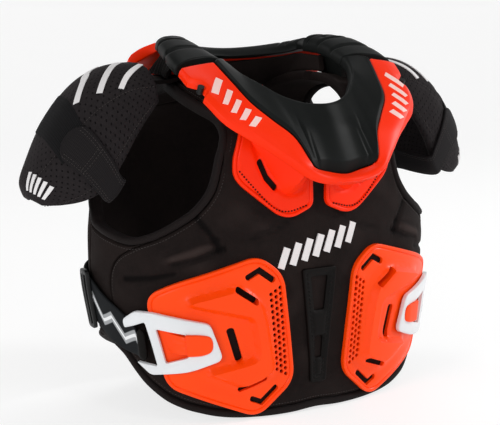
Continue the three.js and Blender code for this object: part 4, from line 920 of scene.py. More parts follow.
def front_padding():
    edge = armhole_edge[FRONT_STRAP : FRONT_SEAM + 1]
    seam = np.vstack([armhole_edge[FRONT_SEAM : FRONT_SEAM + 1], FRONT_SEAM_ROWS])
    upper = both_sides(joined_paths((FRONT_NECK, 20), (np.vstack([FRONT_NECK[-1:], edge]), 52), (seam, 34)))
    lower = both_sides(index_path(FRONT_HEM, (len(upper) + 1) // 2))
    shares = edged(70, 190, EDGE_RADIUS)
    return padded_slab("padded_front", ruled_grid(upper, lower, shares), crown=0.3, relief=chest_relief)


def back_relief(x, down):
    spine = np.abs(np.abs(x) - np.max(np.abs(x)))
    across = sum(1.1 * bell(down - 110 - 30 * k, 2.4) for k in range(5)) * smoothstep(66, 58, spine)
    upright = 1.2 * bell(spine - 64, 2.6) * smoothstep(84, 92, down) * smoothstep(262, 252, down)
    return -across - upright


def back_padding():
    edge = armhole_edge[BACK_SEAM : BACK_STRAP + 1][::-1]
    seam = np.vstack([edge[-1:], BACK_SEAM_ROWS])
    upper = both_sides(joined_paths((BACK_NECK, 26), (np.vstack([BACK_NECK[-1:], edge]), 36), (seam, 26)))
    lower = both_sides(index_path(BACK_HEM[::-1], (len(upper) + 1) // 2))
    shares = edged(70, 230, EDGE_RADIUS)
    return padded_slab("padded_back", ruled_grid(upper, lower, shares), crown=0.3, relief=back_relief)


# Rows along an edge become distances in millimetres, so that they are spaced truly
EDGE_SCALE = np.array([TORSO_HALF_WIDTH, 1.0])


def even_rows(rows, count):
    return smooth_path(rows * EDGE_SCALE, count) / EDGE_SCALE


def side_padding():
    top = armhole_edge[FRONT_SEAM : BACK_SEAM + 1]
    left = beside(np.vstack([top[:1], FRONT_SEAM_ROWS]), -SEAM)
    right = beside(np.vstack([top[-1:], BACK_SEAM_ROWS]), SEAM)
    columns, rows = 40, 40
    upper = even_rows(np.vstack([left[:1], top[1:-1], right[:1]]), columns)
    lower = even_rows(np.vstack([left[-1:], SIDE_HEM[:-1], right[-1:]]), columns)
    near, far = even_rows(left, rows), even_rows(right, rows)
    u = np.linspace(0, 1, columns)[:, None, None]
    v = np.linspace(0, 1, rows)[None, :, None]
    corners = (upper[0] * (1 - u) + upper[-1] * u) * (1 - v) + (lower[0] * (1 - u) + lower[-1] * u) * v
    grid = upper[:, None] * (1 - v) + lower[:, None] * v + near[None] * (1 - u) + far[None] * u - corners
    return padded_slab("side", grid, radius=2.4)


def shoulder_padding():
    rows = [armhole_edge[FRONT_STRAP - k] for k in range(FRONT_STRAP + len(ARMHOLE) - BACK_STRAP + 1)]
    outer = np.array([row if k <= FRONT_STRAP else (math.pi - row[0], -row[1]) for k, row in enumerate(rows)])
    outer[0] = outer[0] * 0.97 + outer[1] * 0.03
    outer[-1] = outer[-1] * 0.97 + outer[-2] * 0.03
    shares = edged(18, 45, EDGE_RADIUS)
    return padded_slab("strap", ruled_grid(index_path(outer, 70), index_path(STRAP_INNER, 70), shares))


# Edge tapes: steps between their rows, corners round them, and the girth their map is drawn for
TAPE_STEPS = 12
TAPE_SIDES = 14
TAPE_GIRTH = 30.0


def tape_path(rows, count):
    """Middle line and outward directions of an edge tape, smooth between its rows."""
    angle, down = rows[:, 0], rows[:, 1]
    upward = unit(raised(angle, down, 1.0) - raised(angle, down, 0.0))
    both = np.hstack([raised(angle, down, -PANEL_THICKNESS / 2), upward])
    looped = np.vstack([both[-2:], both, both[:3]])
    fine = index_path(looped, (len(looped) - 1) * TAPE_STEPS + 1)[2 * TAPE_STEPS :][: len(rows) * TAPE_STEPS]
    looped = np.vstack([fine, fine[:1]])
    lengths = lengths_along(looped[:, :3])
    even = table_at(np.linspace(0, lengths[-1], count, endpoint=False), lengths, looped)
    return even[:, :3], unit(even[:, 3:]), lengths[-1]


def edge_tape(name, rows, count):
    middle, upward, length = tape_path(rows, count)
    points, faces = tube(middle, upward, BINDING_WIDTH, BINDING_THICKNESS, TAPE_SIDES, 3.0, closed=True)
    along = np.repeat(np.arange(count) * length / count, TAPE_SIDES)
    around = np.tile(np.arange(TAPE_SIDES) * TAPE_GIRTH / TAPE_SIDES, count)
    return new_object(name, points, faces, np.stack([along, around], -1), sharp=60.0)


def hem_loop():
    half = np.vstack([FRONT_HEM, FRONT_SEAM_ROWS[-1:], SIDE_HEM, BACK_HEM])
    return np.vstack([half, half[-2:0:-1] * np.array([-1, 1])])


# Hard plates on the chest. Frames give the inset from the middle of the chest, the top,
# the width and the height
PLATE_CLEARANCE = 0.7
PLATE_THICKNESS = 4.0
PLATE_TOP = PLATE_CLEARANCE + PLATE_THICKNESS
LOWER_FRAME = (24.0, 183.0, 118.0, 130.0)
UPPER_FRAME = (6.0, 82.0, 72.0, 74.0)
BUCKLE_FRAME = (87.0, 223.0, 74.0, 52.0)
BUCKLE_BASE = PLATE_TOP + 0.5
BUCKLE_THICKNESS = 3.4
BUCKLE_FACE = BUCKLE_BASE + BUCKLE_THICKNESS
LOWER_OUTLINE = (
    (0.25, -0.005, 11), (0.075, 0.12, 11), (0.005, 0.79, 12), (0.3, 1.0, 12),
    (0.93, 0.79, 11), (0.97, 0.58, 10), (1.0, 0.22, 11), (0.8, 0.14, 10),
)
# Crest of the raised C-shaped ridge of the lower plate
RIDGE_CREST = (
    (0.752, 0.25, 4), (0.702, 0.22, 4), (0.379, 0.154, 7), (0.255, 0.249, 6), (0.215, 0.332, 7),
    (0.164, 0.709, 7), (0.267, 0.775, 5), (0.381, 0.815, 7), (0.66, 0.705, 4), (0.639, 0.668, 3),
    (0.305, 0.607, 7), (0.333, 0.383, 6), (0.379, 0.368, 5), (0.718, 0.286, 4),
)
# Slots of the lower plate: their widths and their paths
LOWER_SLOTS = (
    (5.0, ((0.33, 0.125), (0.25, 0.085), (0.155, 0.15))),
    (5.0, ((0.41, 0.185), (0.29, 0.265))),
    (6.6, ((0.47, 0.44), (0.425, 0.615))),
    (4.4, ((0.43, 0.81), (0.24, 0.75))),
    (4.8, ((0.34, 0.88), (0.27, 0.905), (0.155, 0.82))),
)
# Columns of round holes: first and last place across, top, and how many
HOLE_COLUMNS = ((0.105, 0.075, 0.2, 16), (0.137, 0.108, 0.219, 15), (0.17, 0.143, 0.238, 14))
HOLE_PITCH = 4.7
HOLE_RADIUS = 1.6
HOLE_SIDES = 10


# Rounded light rim of a plate, with a groove inside it: rings of points over the groove
RIM_GROOVE = (2.0, 2.7, 3.3, 3.9, 4.8)
# Raised ridge: width of its soft foot and of its steep facet, and the rise of each
RIDGE_FOOT, RIDGE_FACET = 3.4, 4.0
RIDGE_FOOT_RISE, RIDGE_FACET_RISE = 1.2, 5.4


def rim_profile(border):
    return -1.1 * bell(border - 3.3, 0.6) - 0.4 * smoothstep(2.8, 4.4, border)


def lower_plate():
    outline = rounded_loop(framed(LOWER_FRAME, LOWER_OUTLINE), steps=9)
    crest = rounded_loop(framed(LOWER_FRAME, RIDGE_CREST), steps=5)
    lines = [inset_loop(crest, -RIDGE_FOOT), crest, inset_loop(crest, RIDGE_FACET)]
    holes = [slot_loop(framed(LOWER_FRAME, rows), wide / 2) for wide, rows in LOWER_SLOTS]
    turns = np.linspace(0, 2 * math.pi, HOLE_SIDES, endpoint=False)
    ring = HOLE_RADIUS * np.stack([np.cos(turns), np.sin(turns)], -1)
    for first, last, top, count in HOLE_COLUMNS:
        for k in range(count):
            share = k / (count - 1)
            place = (first + (last - first) * share, top + k * HOLE_PITCH / LOWER_FRAME[3])
            holes.append(framed(LOWER_FRAME, [place]) + ring)

    def height(points):
        border = depth_inside(points, outline)
        ridge = depth_inside(points, crest)
        rise = RIDGE_FOOT_RISE * smoothstep(-RIDGE_FOOT, -0.2, ridge)
        rise = rise + RIDGE_FACET_RISE * np.clip(ridge / RIDGE_FACET, 0, 1)
        dish = -0.6 * smoothstep(6, 14, border) * smoothstep(-RIDGE_FOOT, -6, ridge)
        return PLATE_TOP + rim_profile(border) + rise + dish

    return moulded_plate("rib_plate", outline, holes, height, 2.0, 1.1, PLATE_CLEARANCE, lines, RIM_GROOVE)


# Upper plates, with a block that rises to carry the brace and stops short of it
UPPER_OUTLINE = (
    (0.02, 0.0, 6), (0.0, 0.88, 6), (0.34, 1.02, 14), (0.97, 0.56, 12), (1.0, 0.34, 8), (0.93, 0, 6),
)
UPPER_BLOCK = (
    (0.8, 0.05, 4), (0.8, 0.171, 4), (0.487, 0.552, 7), (0.386, 0.733, 7), (0.251, 0.742, 6), (0.072, 0.6, 5),
    (0.072, 0.05, 4),
)
UPPER_SLOT = ((0.684, 0.38), (0.59, 0.55), (0.48, 0.66))
UPPER_SLOT_HALF = 2.7
UPPER_DISH = (
    (0.8, 0.081, 6), (0.811, 0.251, 8), (0.669, 0.463, 10), (0.432, 0.753, 10), (0.31, 0.792, 8),
    (0.095, 0.754, 8), (0.053, 0.546, 6), (0.053, 0.1, 6),
)
BLOCK_SLOPE = 1.5
BLOCK_CLEARANCE = 0.4


def ceiling_tree():
    """The undersides of the brace, as one search tree."""
    points, faces = [], []
    for name in ("brace_yoke", "brace_front_cover"):
        data = frame["nodes"][name].data
        start = len(points)
        points += [v.co.copy() for v in data.vertices]
        faces += [[start + k for k in polygon.vertices] for polygon in data.polygons]
    return BVHTree.FromPolygons(points, faces)


def upper_plate():
    outline = rounded_loop(framed(UPPER_FRAME, UPPER_OUTLINE), steps=9)
    block = rounded_loop(framed(UPPER_FRAME, UPPER_BLOCK), steps=5)
    dish = rounded_loop(framed(UPPER_FRAME, UPPER_DISH), steps=5)
    slot = slot_loop(framed(UPPER_FRAME, UPPER_SLOT), UPPER_SLOT_HALF)
    ceiling = ceiling_tree()

    def height(points):
        border = depth_inside(points, outline)
        inside = depth_inside(points, block)
        low = PLATE_TOP + rim_profile(border) - 1.3 * smoothstep(0, 3, depth_inside(points, dish))
        rise = np.clip(inside, 0, None) * BLOCK_SLOPE
        top = low + rise
        start = wrapped(points[:, 0], points[:, 1], low - 1.0)
        tip = wrapped(points[:, 0], points[:, 1], low)
        for k in np.nonzero(rise > 0)[0]:
            way = Vector(tip[k] - start[k]).normalized()
            hit = ceiling.ray_cast(Vector(start[k]) * MM, way, 0.08)
            if hit[0] is not None:
                top[k] = min(top[k], low[k] - 1.0 + hit[3] / MM - BLOCK_CLEARANCE)
        return top

    base, lines = PLATE_CLEARANCE, [block, dish]
    return moulded_plate("collar_plate", outline, [slot], height, 1.7, 1.1, base, lines, RIM_GROOVE)


BUCKLE_OUTLINE = (
    (0.11, 0.19, 4), (0, 0.75, 6), (0.37, 0.93, 8), (0.77, 0.99, 3), (0.91, 0.8, 1.5), (0.69, 0.845, 2),
    (0.765, 0.16, 2), (0.9, 0.235, 1.5), (1, 0.28, 2), (1.01, 0.15, 3), (0.86, 0, 4), (0.68, 0.01, 4),
)
BUCKLE_WINDOW = ((0.665, 0.255, 2), (0.35, 0.345, 3), (0.35, 0.7, 3), (0.6, 0.8, 2))


def buckle():
    outline = rounded_loop(framed(BUCKLE_FRAME, BUCKLE_OUTLINE), steps=6)
    window = rounded_loop(framed(BUCKLE_FRAME, BUCKLE_WINDOW), steps=5)

    def height(points):
        edge = np.minimum(depth_inside(points, outline), segment_distance(points, window))
        return BUCKLE_FACE + 0.5 * smoothstep(0.4, 3.2, edge)

    return moulded_plate("hook_buckle", outline, [window], height, 2.2, 1.0, BUCKLE_BASE)


# Prong of the lower plate: a tongue over the buckle's bar, and its two-ribbed root in the window
PRONG_TONGUE = (
    (0.1, 0.37, 6), (0.1, 0.6, 6), (0.22, 0.66, 4), (0.37, 0.665, 1), (0.37, 0.33, 1), (0.22, 0.335, 4),
)
PRONG_ROOT = ((0.36, 0.37, 1), (0.36, 0.64, 1), (0.55, 0.67, 2), (0.6, 0.5, 3), (0.58, 0.34, 2))


def prong():
    tongue = rounded_loop(framed(BUCKLE_FRAME, PRONG_TONGUE), steps=6)
    root = rounded_loop(framed(BUCKLE_FRAME, PRONG_ROOT), steps=5)
    inset, top, width, depth = BUCKLE_FRAME

    def tongue_height(points):
        far = (points[:, 0] - inset) / width
        return BUCKLE_FACE + 0.6 + 1.9 * smoothstep(0.02, 0.2, far) + 0.3 * smoothstep(0.2, 0.34, far)

    def root_height(points):
        far = (points[:, 0] - inset) / width
        down = (-points[:, 1] - top) / depth
        ribs = bell(down - 0.43, 0.045) + bell(down - 0.57, 0.045)
        fall = 5.2 * smoothstep(0.37, 0.56, far)
        return BUCKLE_FACE + 0.8 - fall + ribs * smoothstep(0.575, 0.5, far)

    over = moulded_plate("prong_tongue", tongue, [], tongue_height, 1.2, 0.9, BUCKLE_FACE + 0.55)
    under = moulded_plate("prong_root", root, [], root_height, 1.1, 0.5, PLATE_TOP - 1.5)
    return joined("prong", [over, under])


def joined(name, pieces):
    """One object from several closed meshes."""
    points, faces, uvs = [], [], []
    for piece in pieces:
        data = piece.data
        start = len(points)
        points += [v.co / MM for v in data.vertices]
        faces += [[start + k for k in polygon.vertices] for polygon in data.polygons]
        layer = data.uv_layers[0].data
        flat = np.zeros((len(data.vertices), 2))
        for loop in data.loops:
            flat[loop.vertex_index] = layer[loop.index].uv
        uvs.append(flat)
        bpy.data.objects.remove(piece)
    return new_object(name, np.array(points), faces, np.vstack(uvs))


# Channel in the middle of the chest: half widths at its top, its narrowing and its foot
CHANNEL_FRAME = (0.0, 197.0, 16.0, 96.0)
CHANNEL_OUTLINE = ((1, 0, 3), (0.56, 0.78, 3), (0.5, 0.98, 3), (-0.5, 0.98, 3), (-0.56, 0.78, 3), (-1, 0, 3))
CHANNEL_WINDOWS = (
    ((-0.5, 0.07, 1.5), (-0.3, 0.36, 1.5), (0.3, 0.36, 1.5), (0.5, 0.07, 1.5)),
    ((-0.25, 0.58, 1.5), (-0.2, 0.77, 1.5), (0.2, 0.77, 1.5), (0.25, 0.58, 1.5)),
)
CHANNEL_THICKNESS = 3.0


def channel():
    outline = rounded_loop(framed(CHANNEL_FRAME, CHANNEL_OUTLINE), steps=6)
    windows = [rounded_loop(framed(CHANNEL_FRAME, rows), steps=4) for rows in CHANNEL_WINDOWS]

    def height(points):
        border = depth_inside(points, outline)
        edge = np.min([segment_distance(points, loop) for loop in windows], 0)
        ribs = bell(border - 3.2, 0.7) + bell(border - 5.4, 0.7)
        return PLATE_CLEARANCE + CHANNEL_THICKNESS - 0.9 * ribs - 1.1 * smoothstep(3.0, 0.6, edge)

    return moulded_plate("chest_channel", outline, windows, height, 1.6, 1.0, PLATE_CLEARANCE)


# Neck brace: edges as shares of its half width, reach and fall, from its middle to its arms
BRACE_SIZE = np.array([100.0, 140.0, 80.0])
BRACE_GAP = 0.35
OPENING_EDGE = (
    (0, -0.714, -0.275), (0.14, -0.68, -0.265), (0.24, -0.65, -0.23), (0.33, -0.61, -0.18),
    (0.4, -0.56, -0.115), (0.47, -0.5, -0.05), (0.52, -0.43, 0.01), (0.555, -0.36, 0.08), (0.57, -0.3, 0.13),
)
COVER_EDGE = (
    (0, -0.94, -0.915), (0.15, -0.925, -0.885), (0.265, -0.935, -0.84), (0.31, -0.93, -0.77),
    (0.375, -0.85, -0.565), (0.495, -0.765, -0.41), (0.615, -0.68, -0.25), (0.675, -0.555, -0.075),
    (0.73, -0.41, 0.115),
)
YOKE_EDGE = (
    (0, -0.99, -0.985), (0.16, -0.98, -0.97), (0.33, -0.965, -0.9), (0.47, -0.905, -0.76),
    (0.61, -0.835, -0.62), (0.75, -0.775, -0.5), (0.86, -0.725, -0.39), (0.94, -0.63, -0.23),
    (1.03, -0.385, 0.04),
)
SIDE_INNER = (
    (0.575, -0.29, 0.14), (0.585, -0.2, 0.185), (0.59, -0.1, 0.23), (0.585, 0, 0.265), (0.57, 0.08, 0.28),
    (0.55, 0.13, 0.285),
)
SIDE_OUTER = (
    (1.02, -0.355, 0.08), (1.01, -0.25, 0.16), (0.98, -0.13, 0.24), (0.95, -0.03, 0.29), (0.9, 0.08, 0.31),
    (0.8, 0.15, 0.31),
)
REAR_INNER = (
    (0, 0.35, 0.19), (0.17, 0.34, 0.2), (0.34, 0.305, 0.22), (0.48, 0.24, 0.25), (0.545, 0.195, 0.28),
)
REAR_MIDDLE = (
    (0, 0.43, 0.155), (0.24, 0.42, 0.165), (0.48, 0.38, 0.2), (0.68, 0.3, 0.25), (0.79, 0.235, 0.28),
)
REAR_OUTER = (
    (0, 0.74, -0.52), (0.38, 0.7, -0.42), (0.72, 0.58, -0.18), (0.98, 0.4, -0.02), (1.08, 0.19, 0.12),
)
YOKE_THICKNESS, YOKE_LIP, YOKE_CROWN = 7.0, 6.0, 2.5
COVER_THICKNESS, COVER_CROWN = 9.0, 2.0
RIM_THICKNESS = 9.0
SIDE_THICKNESS, SIDE_LIP, SIDE_CROWN = 10.0, 8.0, 4.0
LINER_THICKNESS = 5.0


def both_arms(points):
    return np.vstack([points[:0:-1] * np.array([-1, 1, 1]), points])


def brace_edge(rows, count, whole=True):
    """Smooth edge of the brace, from its left arm over the middle to its right arm where whole."""
    points = np.array(rows) * BRACE_SIZE
    if not whole:
        return index_path(points, count)
    return index_path(both_arms(points), 2 * count - 1)


def band_ups(inner, outer):
    along = tangents(inner + outer)
    up = unit(np.cross(outer - inner, along))
    return up * np.where(up[:, 2:] < 0, -1, 1)


CORNER_SHARES = (0.0, 0.25, 0.5, 0.75, 1.0)
# Girth that the map of a bar is drawn for
BAR_GIRTH = 60
END_ROUNDING = 1.5


def band_bar(name, inner, outer, ups, corners, soft, raise_by=None):
    """Bar between two edges. Each corner gives a share of the width, a way past it and a height,
    as numbers or as arrays along the bar, and soft gives the length rounded off at each."""
    width = outer - inner
    side = unit(width)
    places = []
    for corner in corners:
        share, aside, high = (np.broadcast_to(np.asarray(v, float), len(inner))[:, None] for v in corner)
        places.append(inner + width * share + side * aside + ups * high)
    ring = []
    for k, size in enumerate(soft):
        here = places[k]
        ends = []
        for other in (places[k - 1], places[(k + 1) % len(soft)]):
            edge = other - here
            length = np.linalg.norm(edge, axis=1, keepdims=True)
            ends.append(here + edge * np.minimum(size / np.maximum(length, 1e-6), 0.45))
        ring += corner_curve(ends[0], here, ends[1], CORNER_SHARES)
    rings = np.stack(ring, 1)
    if raise_by is not None:
        rings = rings + raise_by(rings)
    rings = rounded_ends(rings)
    n, sides = rings.shape[:2]
    along = np.repeat(lengths_along(rings.mean(1)), sides)
    around = np.tile(np.linspace(0, BAR_GIRTH, sides), n)
    return new_object(name, rings.reshape(-1, 3), ring_faces(n, sides), np.stack([along, around], -1))


def rounded_ends(rings):
    """Draws both ends of a bar in a little, so that their edges are round."""
    made = list(rings)
    for end, step in ((0, 1), (-1, -1)):
        ring, inward = rings[end], rings[end + step] - rings[end]
        centre = ring.mean(0)
        girth = np.linalg.norm(ring - centre, axis=1, keepdims=True)
        reach = unit(inward.mean(0))
        extra = []
        for along, pull in ((0.0, 1.0), (0.12, 0.5), (0.45, 0.14)):
            drawn = ring - (ring - centre) / np.maximum(girth, 1e-6) * pull * END_ROUNDING
            extra.append(drawn + reach * along * END_ROUNDING)
        made[end] = ring + reach * END_ROUNDING
        made = extra + made if end == 0 else made + extra[::-1]
    return np.array(made)


ARM_STATIONS = 97
opening_edge = brace_edge(OPENING_EDGE, ARM_STATIONS)
cover_edge = brace_edge(COVER_EDGE, ARM_STATIONS)
yoke_edge = brace_edge(YOKE_EDGE, ARM_STATIONS)
front_ups = band_ups(opening_edge, yoke_edge)
# Share of the way from the middle of the brace to the end of an arm, at each station
arm_share = np.abs(np.linspace(-1, 1, 2 * ARM_STATIONS - 1))


def moved_towards(points, others, distance):
    return points + unit(others - points) * distance


yoke_inner = moved_towards(cover_edge, yoke_edge, BRACE_GAP)
# Notch near each arm's end of the yoke: its depth, and shares of the arm where it starts and ends
NOTCH_DEPTH = 5.5
NOTCH_START, NOTCH_END = 0.9, 0.95


def yoke():
    notch = NOTCH_DEPTH * smoothstep(NOTCH_START - 0.005, NOTCH_START + 0.005, arm_share)
    notch = notch * smoothstep(NOTCH_END + 0.005, NOTCH_END - 0.01, arm_share)
    tail = 1.5 * smoothstep(NOTCH_END + 0.005, 1.0, arm_share)
    # A facet runs along the arm's outer edge
    facet = 1.2 + 3.2 * smoothstep(0.45, 0.72, arm_share) * smoothstep(1.0, 0.9, arm_share)
    fall = 1.0 + 1.8 * smoothstep(0.45, 0.72, arm_share)
    outward = -notch - tail
    corners = (
        (0.0, 0.0, -0.5),
        (0.0, 0.8, 0.1),
        (0.62, outward * 0.5, YOKE_CROWN * 0.8),
        (1.0, outward - facet, 1.4),
        (1.0, outward, 1.4 - fall),
        (1.0, outward, -YOKE_LIP),
        (0.6, outward * 0.5, -YOKE_THICKNESS),
        (0.0, 0.0, -YOKE_THICKNESS),
    )
    soft = (0.3, 0.5, 5.0, 0.7, 0.7, 1.2, 2.0, 0.6)
    return band_bar("brace_frame_front", yoke_inner, yoke_edge, front_ups, corners, soft)


# Raised tongue in the middle of the foam cover: half width at its foot, its spread upwards, its
# rise and its length
TONGUE_HALF = 20.0
TONGUE_SPREAD = 0.16
TONGUE_RISE = 1.1
TONGUE_LENGTH = 30.0


def cover():
    bevel = 3.0 + 3.0 * smoothstep(0.28, 0.12, arm_share)
    fall = 1.6 + 3.6 * smoothstep(0.3, 0.12, arm_share)
    corners = (
        (0.0, 0.0, -0.8),
        (0.0, 2.2, 0.9),
        (0.4, 0.0, COVER_CROWN + 0.3),
        (1.0, -bevel - 2.0, COVER_CROWN + 0.4),
        (1.0, -0.3, COVER_CROWN + 0.4 - fall),
        (1.0, -0.3, -COVER_THICKNESS),
        (0.6, 0.0, -COVER_THICKNESS),
        (0.0, 0.0, -COVER_THICKNESS),
    )
    soft = (1.8, 1.8, 8.0, 1.2, 1.0, 0.5, 1.0, 2.0)
    outer = moved_towards(cover_edge, opening_edge, BRACE_GAP)
    top = opening_edge[len(arm_share) // 2]

    def tongue(rings):
        x, y, z = np.moveaxis(rings, -1, 0)
        down = np.clip(-(y - top[1]) / TONGUE_LENGTH, 0, 1)
        past = np.abs(x) - (TONGUE_HALF + TONGUE_SPREAD * (z + 73))
        facing = np.einsum("ijk,ik->ij", rings - rings.mean(1, keepdims=True), front_ups)
        high = TONGUE_RISE * smoothstep(1.4, -0.2, past) - 0.5 * bell(past - 1.6, 0.9)
        high = high * smoothstep(0.12, 0.4, down) * smoothstep(-72, -68, z) * smoothstep(-1.5, 0.5, facing)
        return high[..., None] * front_ups[:, None]

    return band_bar("brace_foam_front", opening_edge, outer, front_ups, corners, soft, raise_by=tongue)


# Pressed lines across the foam pads, as shares of their length, and the dimples of a side pad, as
# shares of its length and width
GROOVE_DEPTH = 1.6
SIDE_GROOVES = (0.3, 0.6, 0.88)
REAR_GROOVES = (0.62, 0.74, 0.92)
DIMPLES = ((0.72, 0.35), (0.72, 0.7))
DIMPLE_DEPTH, DIMPLE_WIDTH = 1.6, 2.4


def grooves(share, places, width):
    return GROOVE_DEPTH * sum(bell(share - at, width) for at in places)


def side_foam():
    count = 90
    inner = brace_edge(SIDE_INNER, count, whole=False)
    outer = brace_edge(SIDE_OUTER, count, whole=False)
    pressed = grooves(np.linspace(0, 1, count), SIDE_GROOVES, 0.024)
    corners = (
        (0.0, 0.4, -0.8 - pressed),
        (0.25, 0.0, SIDE_CROWN * 0.9 - 2.6 * pressed),
        (0.75, 0.0, SIDE_CROWN - 2.8 * pressed),
        (1.0, -0.5, -0.6 - pressed),
        (1.0, -0.3 - pressed, -SIDE_LIP),
        (0.6, 0.0, -SIDE_THICKNESS),
        (0.0, 0.0, -SIDE_THICKNESS),
    )
    soft = (4.0, 9.0, 9.0, 4.0, 1.5, 2.0, 1.5)
    ups = band_ups(inner, outer)

    def dimples(rings):
        total = 0
        for along, across in DIMPLES:
            k = int(along * (count - 1))
            centre = inner[k] * (1 - across) + outer[k] * across + ups[k] * SIDE_CROWN
            total = total + bell(np.linalg.norm(rings - centre, axis=2), DIMPLE_WIDTH)
        return -DIMPLE_DEPTH * total[..., None] * ups[:, None]

    return band_bar("side_foam", inner, outer, ups, corners, soft, raise_by=dimples)


REAR_STATIONS = 97
rear_inner = brace_edge(REAR_INNER, REAR_STATIONS)
rear_middle = brace_edge(REAR_MIDDLE, REAR_STATIONS)
rear_outer = brace_edge(REAR_OUTER, REAR_STATIONS)
rear_ups = band_ups(rear_inner, rear_outer)
rear_share = np.abs(np.linspace(-1, 1, 2 * REAR_STATIONS - 1))


def rear_rim():
    pressed = grooves(rear_share, REAR_GROOVES, 0.014)
    outer = moved_towards(rear_middle, rear_inner, -BRACE_GAP)
    corners = (
        (0.0, 0.0, -1.2),
        (0.28, 0.0, 2.6 - 2.4 * pressed),
        (0.72, 0.0, 2.6 - 2.4 * pressed),
        (1.0, -0.2, -0.8 - pressed),
        (1.0, -0.2, -RIM_THICKNESS),
        (0.5, 0.0, -RIM_THICKNESS),
        (0.0, 0.0, -RIM_THICKNESS),
    )
    soft = (3.0, 5.0, 5.0, 2.5, 1.0, 1.0, 2.5)
    return band_bar("brace_foam_rear", rear_inner, outer, rear_ups, corners, soft)


def rear_shell():
    inner = moved_towards(rear_middle, rear_outer, BRACE_GAP * 2)
    tongue = 1.3 * smoothstep(0.2, 0.17, rear_share)
    corners = (
        (0.0, 0.0, -0.8),
        (0.0, 1.0, 0.2),
        (0.5, 0.0, 2.4 + tongue),
        (1.0, -5.0, 1.6 + tongue),
        (1.0, 0.0, -0.8),
        (1.0, 0.0, -YOKE_LIP),
        (0.6, 0.0, -YOKE_THICKNESS),
        (0.0, 0.0, -YOKE_THICKNESS),
    )
    soft = (0.5, 0.6, 8.0, 1.0, 0.8, 1.2, 2.0, 0.6)
    return band_bar("brace_frame_rear", inner, rear_outer, rear_ups, corners, soft)


LINER_FOOT = placed(
    [
        (0, 0.135, 1), (0.16, 0.14, 1), (0.3, 0.17, 1), (0.42, 0.165, 1), (0.5, 0.12, 1), (0.52, 0.06, 1),
        (0.52, -0.02, 1),
    ]
)
LINER_HEAD = (
    (0, 0.375, 0.055), (0.17, 0.365, 0.065), (0.34, 0.33, 0.085), (0.47, 0.27, 0.11), (0.54, 0.19, 0.14),
    (0.57, 0.1, 0.135), (0.6, 0, 0.12),
)


# Upright ribs of the neck lining: depth, and stations of half a rib
LINER_RIB_DEPTH = 0.7
LINER_RIB_STATIONS = 3.0


def neck_lining():
    heads = brace_edge(LINER_HEAD, 61)
    feet = index_path(both_arms(raised(LINER_FOOT[:, 0], LINER_FOOT[:, 1], 0.9)), len(heads))
    outward = unit(heads * np.array([1, 1, 0]))
    wall = ruled_grid(heads, feet, edged(14, 50, 2.5))
    border = edge_distance(wall, ends=False)
    drop = rounding(border, 2.4)
    wave = np.cos(np.arange(len(heads)) / LINER_RIB_STATIONS * math.pi)
    ribs = LINER_RIB_DEPTH * wave[:, None] * smoothstep(3, 8, border)
    outer = wall + outward[:, None] * (LINER_THICKNESS - drop + np.minimum(ribs, 0))[..., None]
    return sheet_object("neck_lining", outer, wall + outward[:, None] * drop[..., None])


# Arm pads: ridge and edge places as shares of the pad's reach and drop, and depth
PAD_REACH = 209.0
PAD_HALF_DEPTH = 48.0
PAD_DROP = 100.0
PAD_THICKNESS = 8.0
PAD_SHAPE = 0.8
ARM_LOOP_DEPTH = 6.0
PAD_ROWS = np.array(
    [
        (0.54, 0.08, 0.53, -0.24, 0.84),
        (0.665, 0.05, 0.62, -0.47, 0.96),
        (0.785, -0.09, 0.69, -0.71, 1),
        (0.89, -0.34, 0.74, -0.88, 0.94),
        (0.96, -0.6, 0.81, -0.97, 0.8),
        (1, -0.82, 0.89, -1, 0.58),
        (0.985, -0.96, 0.955, -1, 0.3),
    ]
)
ARM_STRAP_WIDTH = 28.0
ARM_STRAP_THICKNESS = 2.2
ARM_STRAP_CLEARANCE = 0.8
# Length that the rows of the pad stand for in all
PAD_LENGTH = 150.0
# Gap between the rim of the pad and its first turn
PAD_RIM_TURN = 0.04


def pad_values(row):
    last = len(PAD_ROWS) - 1
    along = np.clip(row, 0, 1) * last
    i = np.minimum(along.astype(int), last - 1)
    t = (along - i)[..., None]
    p0, p1, p2, p3 = (PAD_ROWS[np.clip(i + k, 0, last)] for k in (-1, 0, 1, 2))
    return spline(p0, p1, p2, p3, t)


def pad_point(row, turn):
    row, turn = np.broadcast_arrays(np.asarray(row, float), np.asarray(turn, float))
    values = pad_values(row)
    zero = np.zeros(row.shape)
    ridge = np.stack([values[..., 0] * PAD_REACH, zero, values[..., 1] * PAD_DROP], -1)
    edge = np.stack([values[..., 2] * PAD_REACH, zero, values[..., 3] * PAD_DROP], -1)
    rise = ridge - edge
    high = signed_power(np.sin(turn), PAD_SHAPE)[..., None]
    point = edge + np.where(high >= 0, rise * high, unit(rise) * high * ARM_LOOP_DEPTH)
    point[..., 1] = -values[..., 4] * PAD_HALF_DEPTH * signed_power(np.cos(turn), PAD_SHAPE)
    return point


def on_pad(row, turn, lift):
    step = 0.02
    row, turn = np.broadcast_arrays(np.asarray(row, float), np.asarray(turn, float))
    length = pad_point(np.clip(row + step, 0, 1), turn) - pad_point(np.clip(row - step, 0, 1), turn)
    round_pad = pad_point(row, turn + step) - pad_point(row, turn - step)
    return pad_point(row, turn) + unit(np.cross(length, round_pad)) * np.asarray(lift, float)[..., None]


# Seam across the pad, as rows of place along the pad and turn round it
PAD_SEAM = ((0.02, 0.45), (0.12, 0.62), (0.26, 0.74), (0.42, 0.84), (0.62, 0.96), (0.8, 1.12))


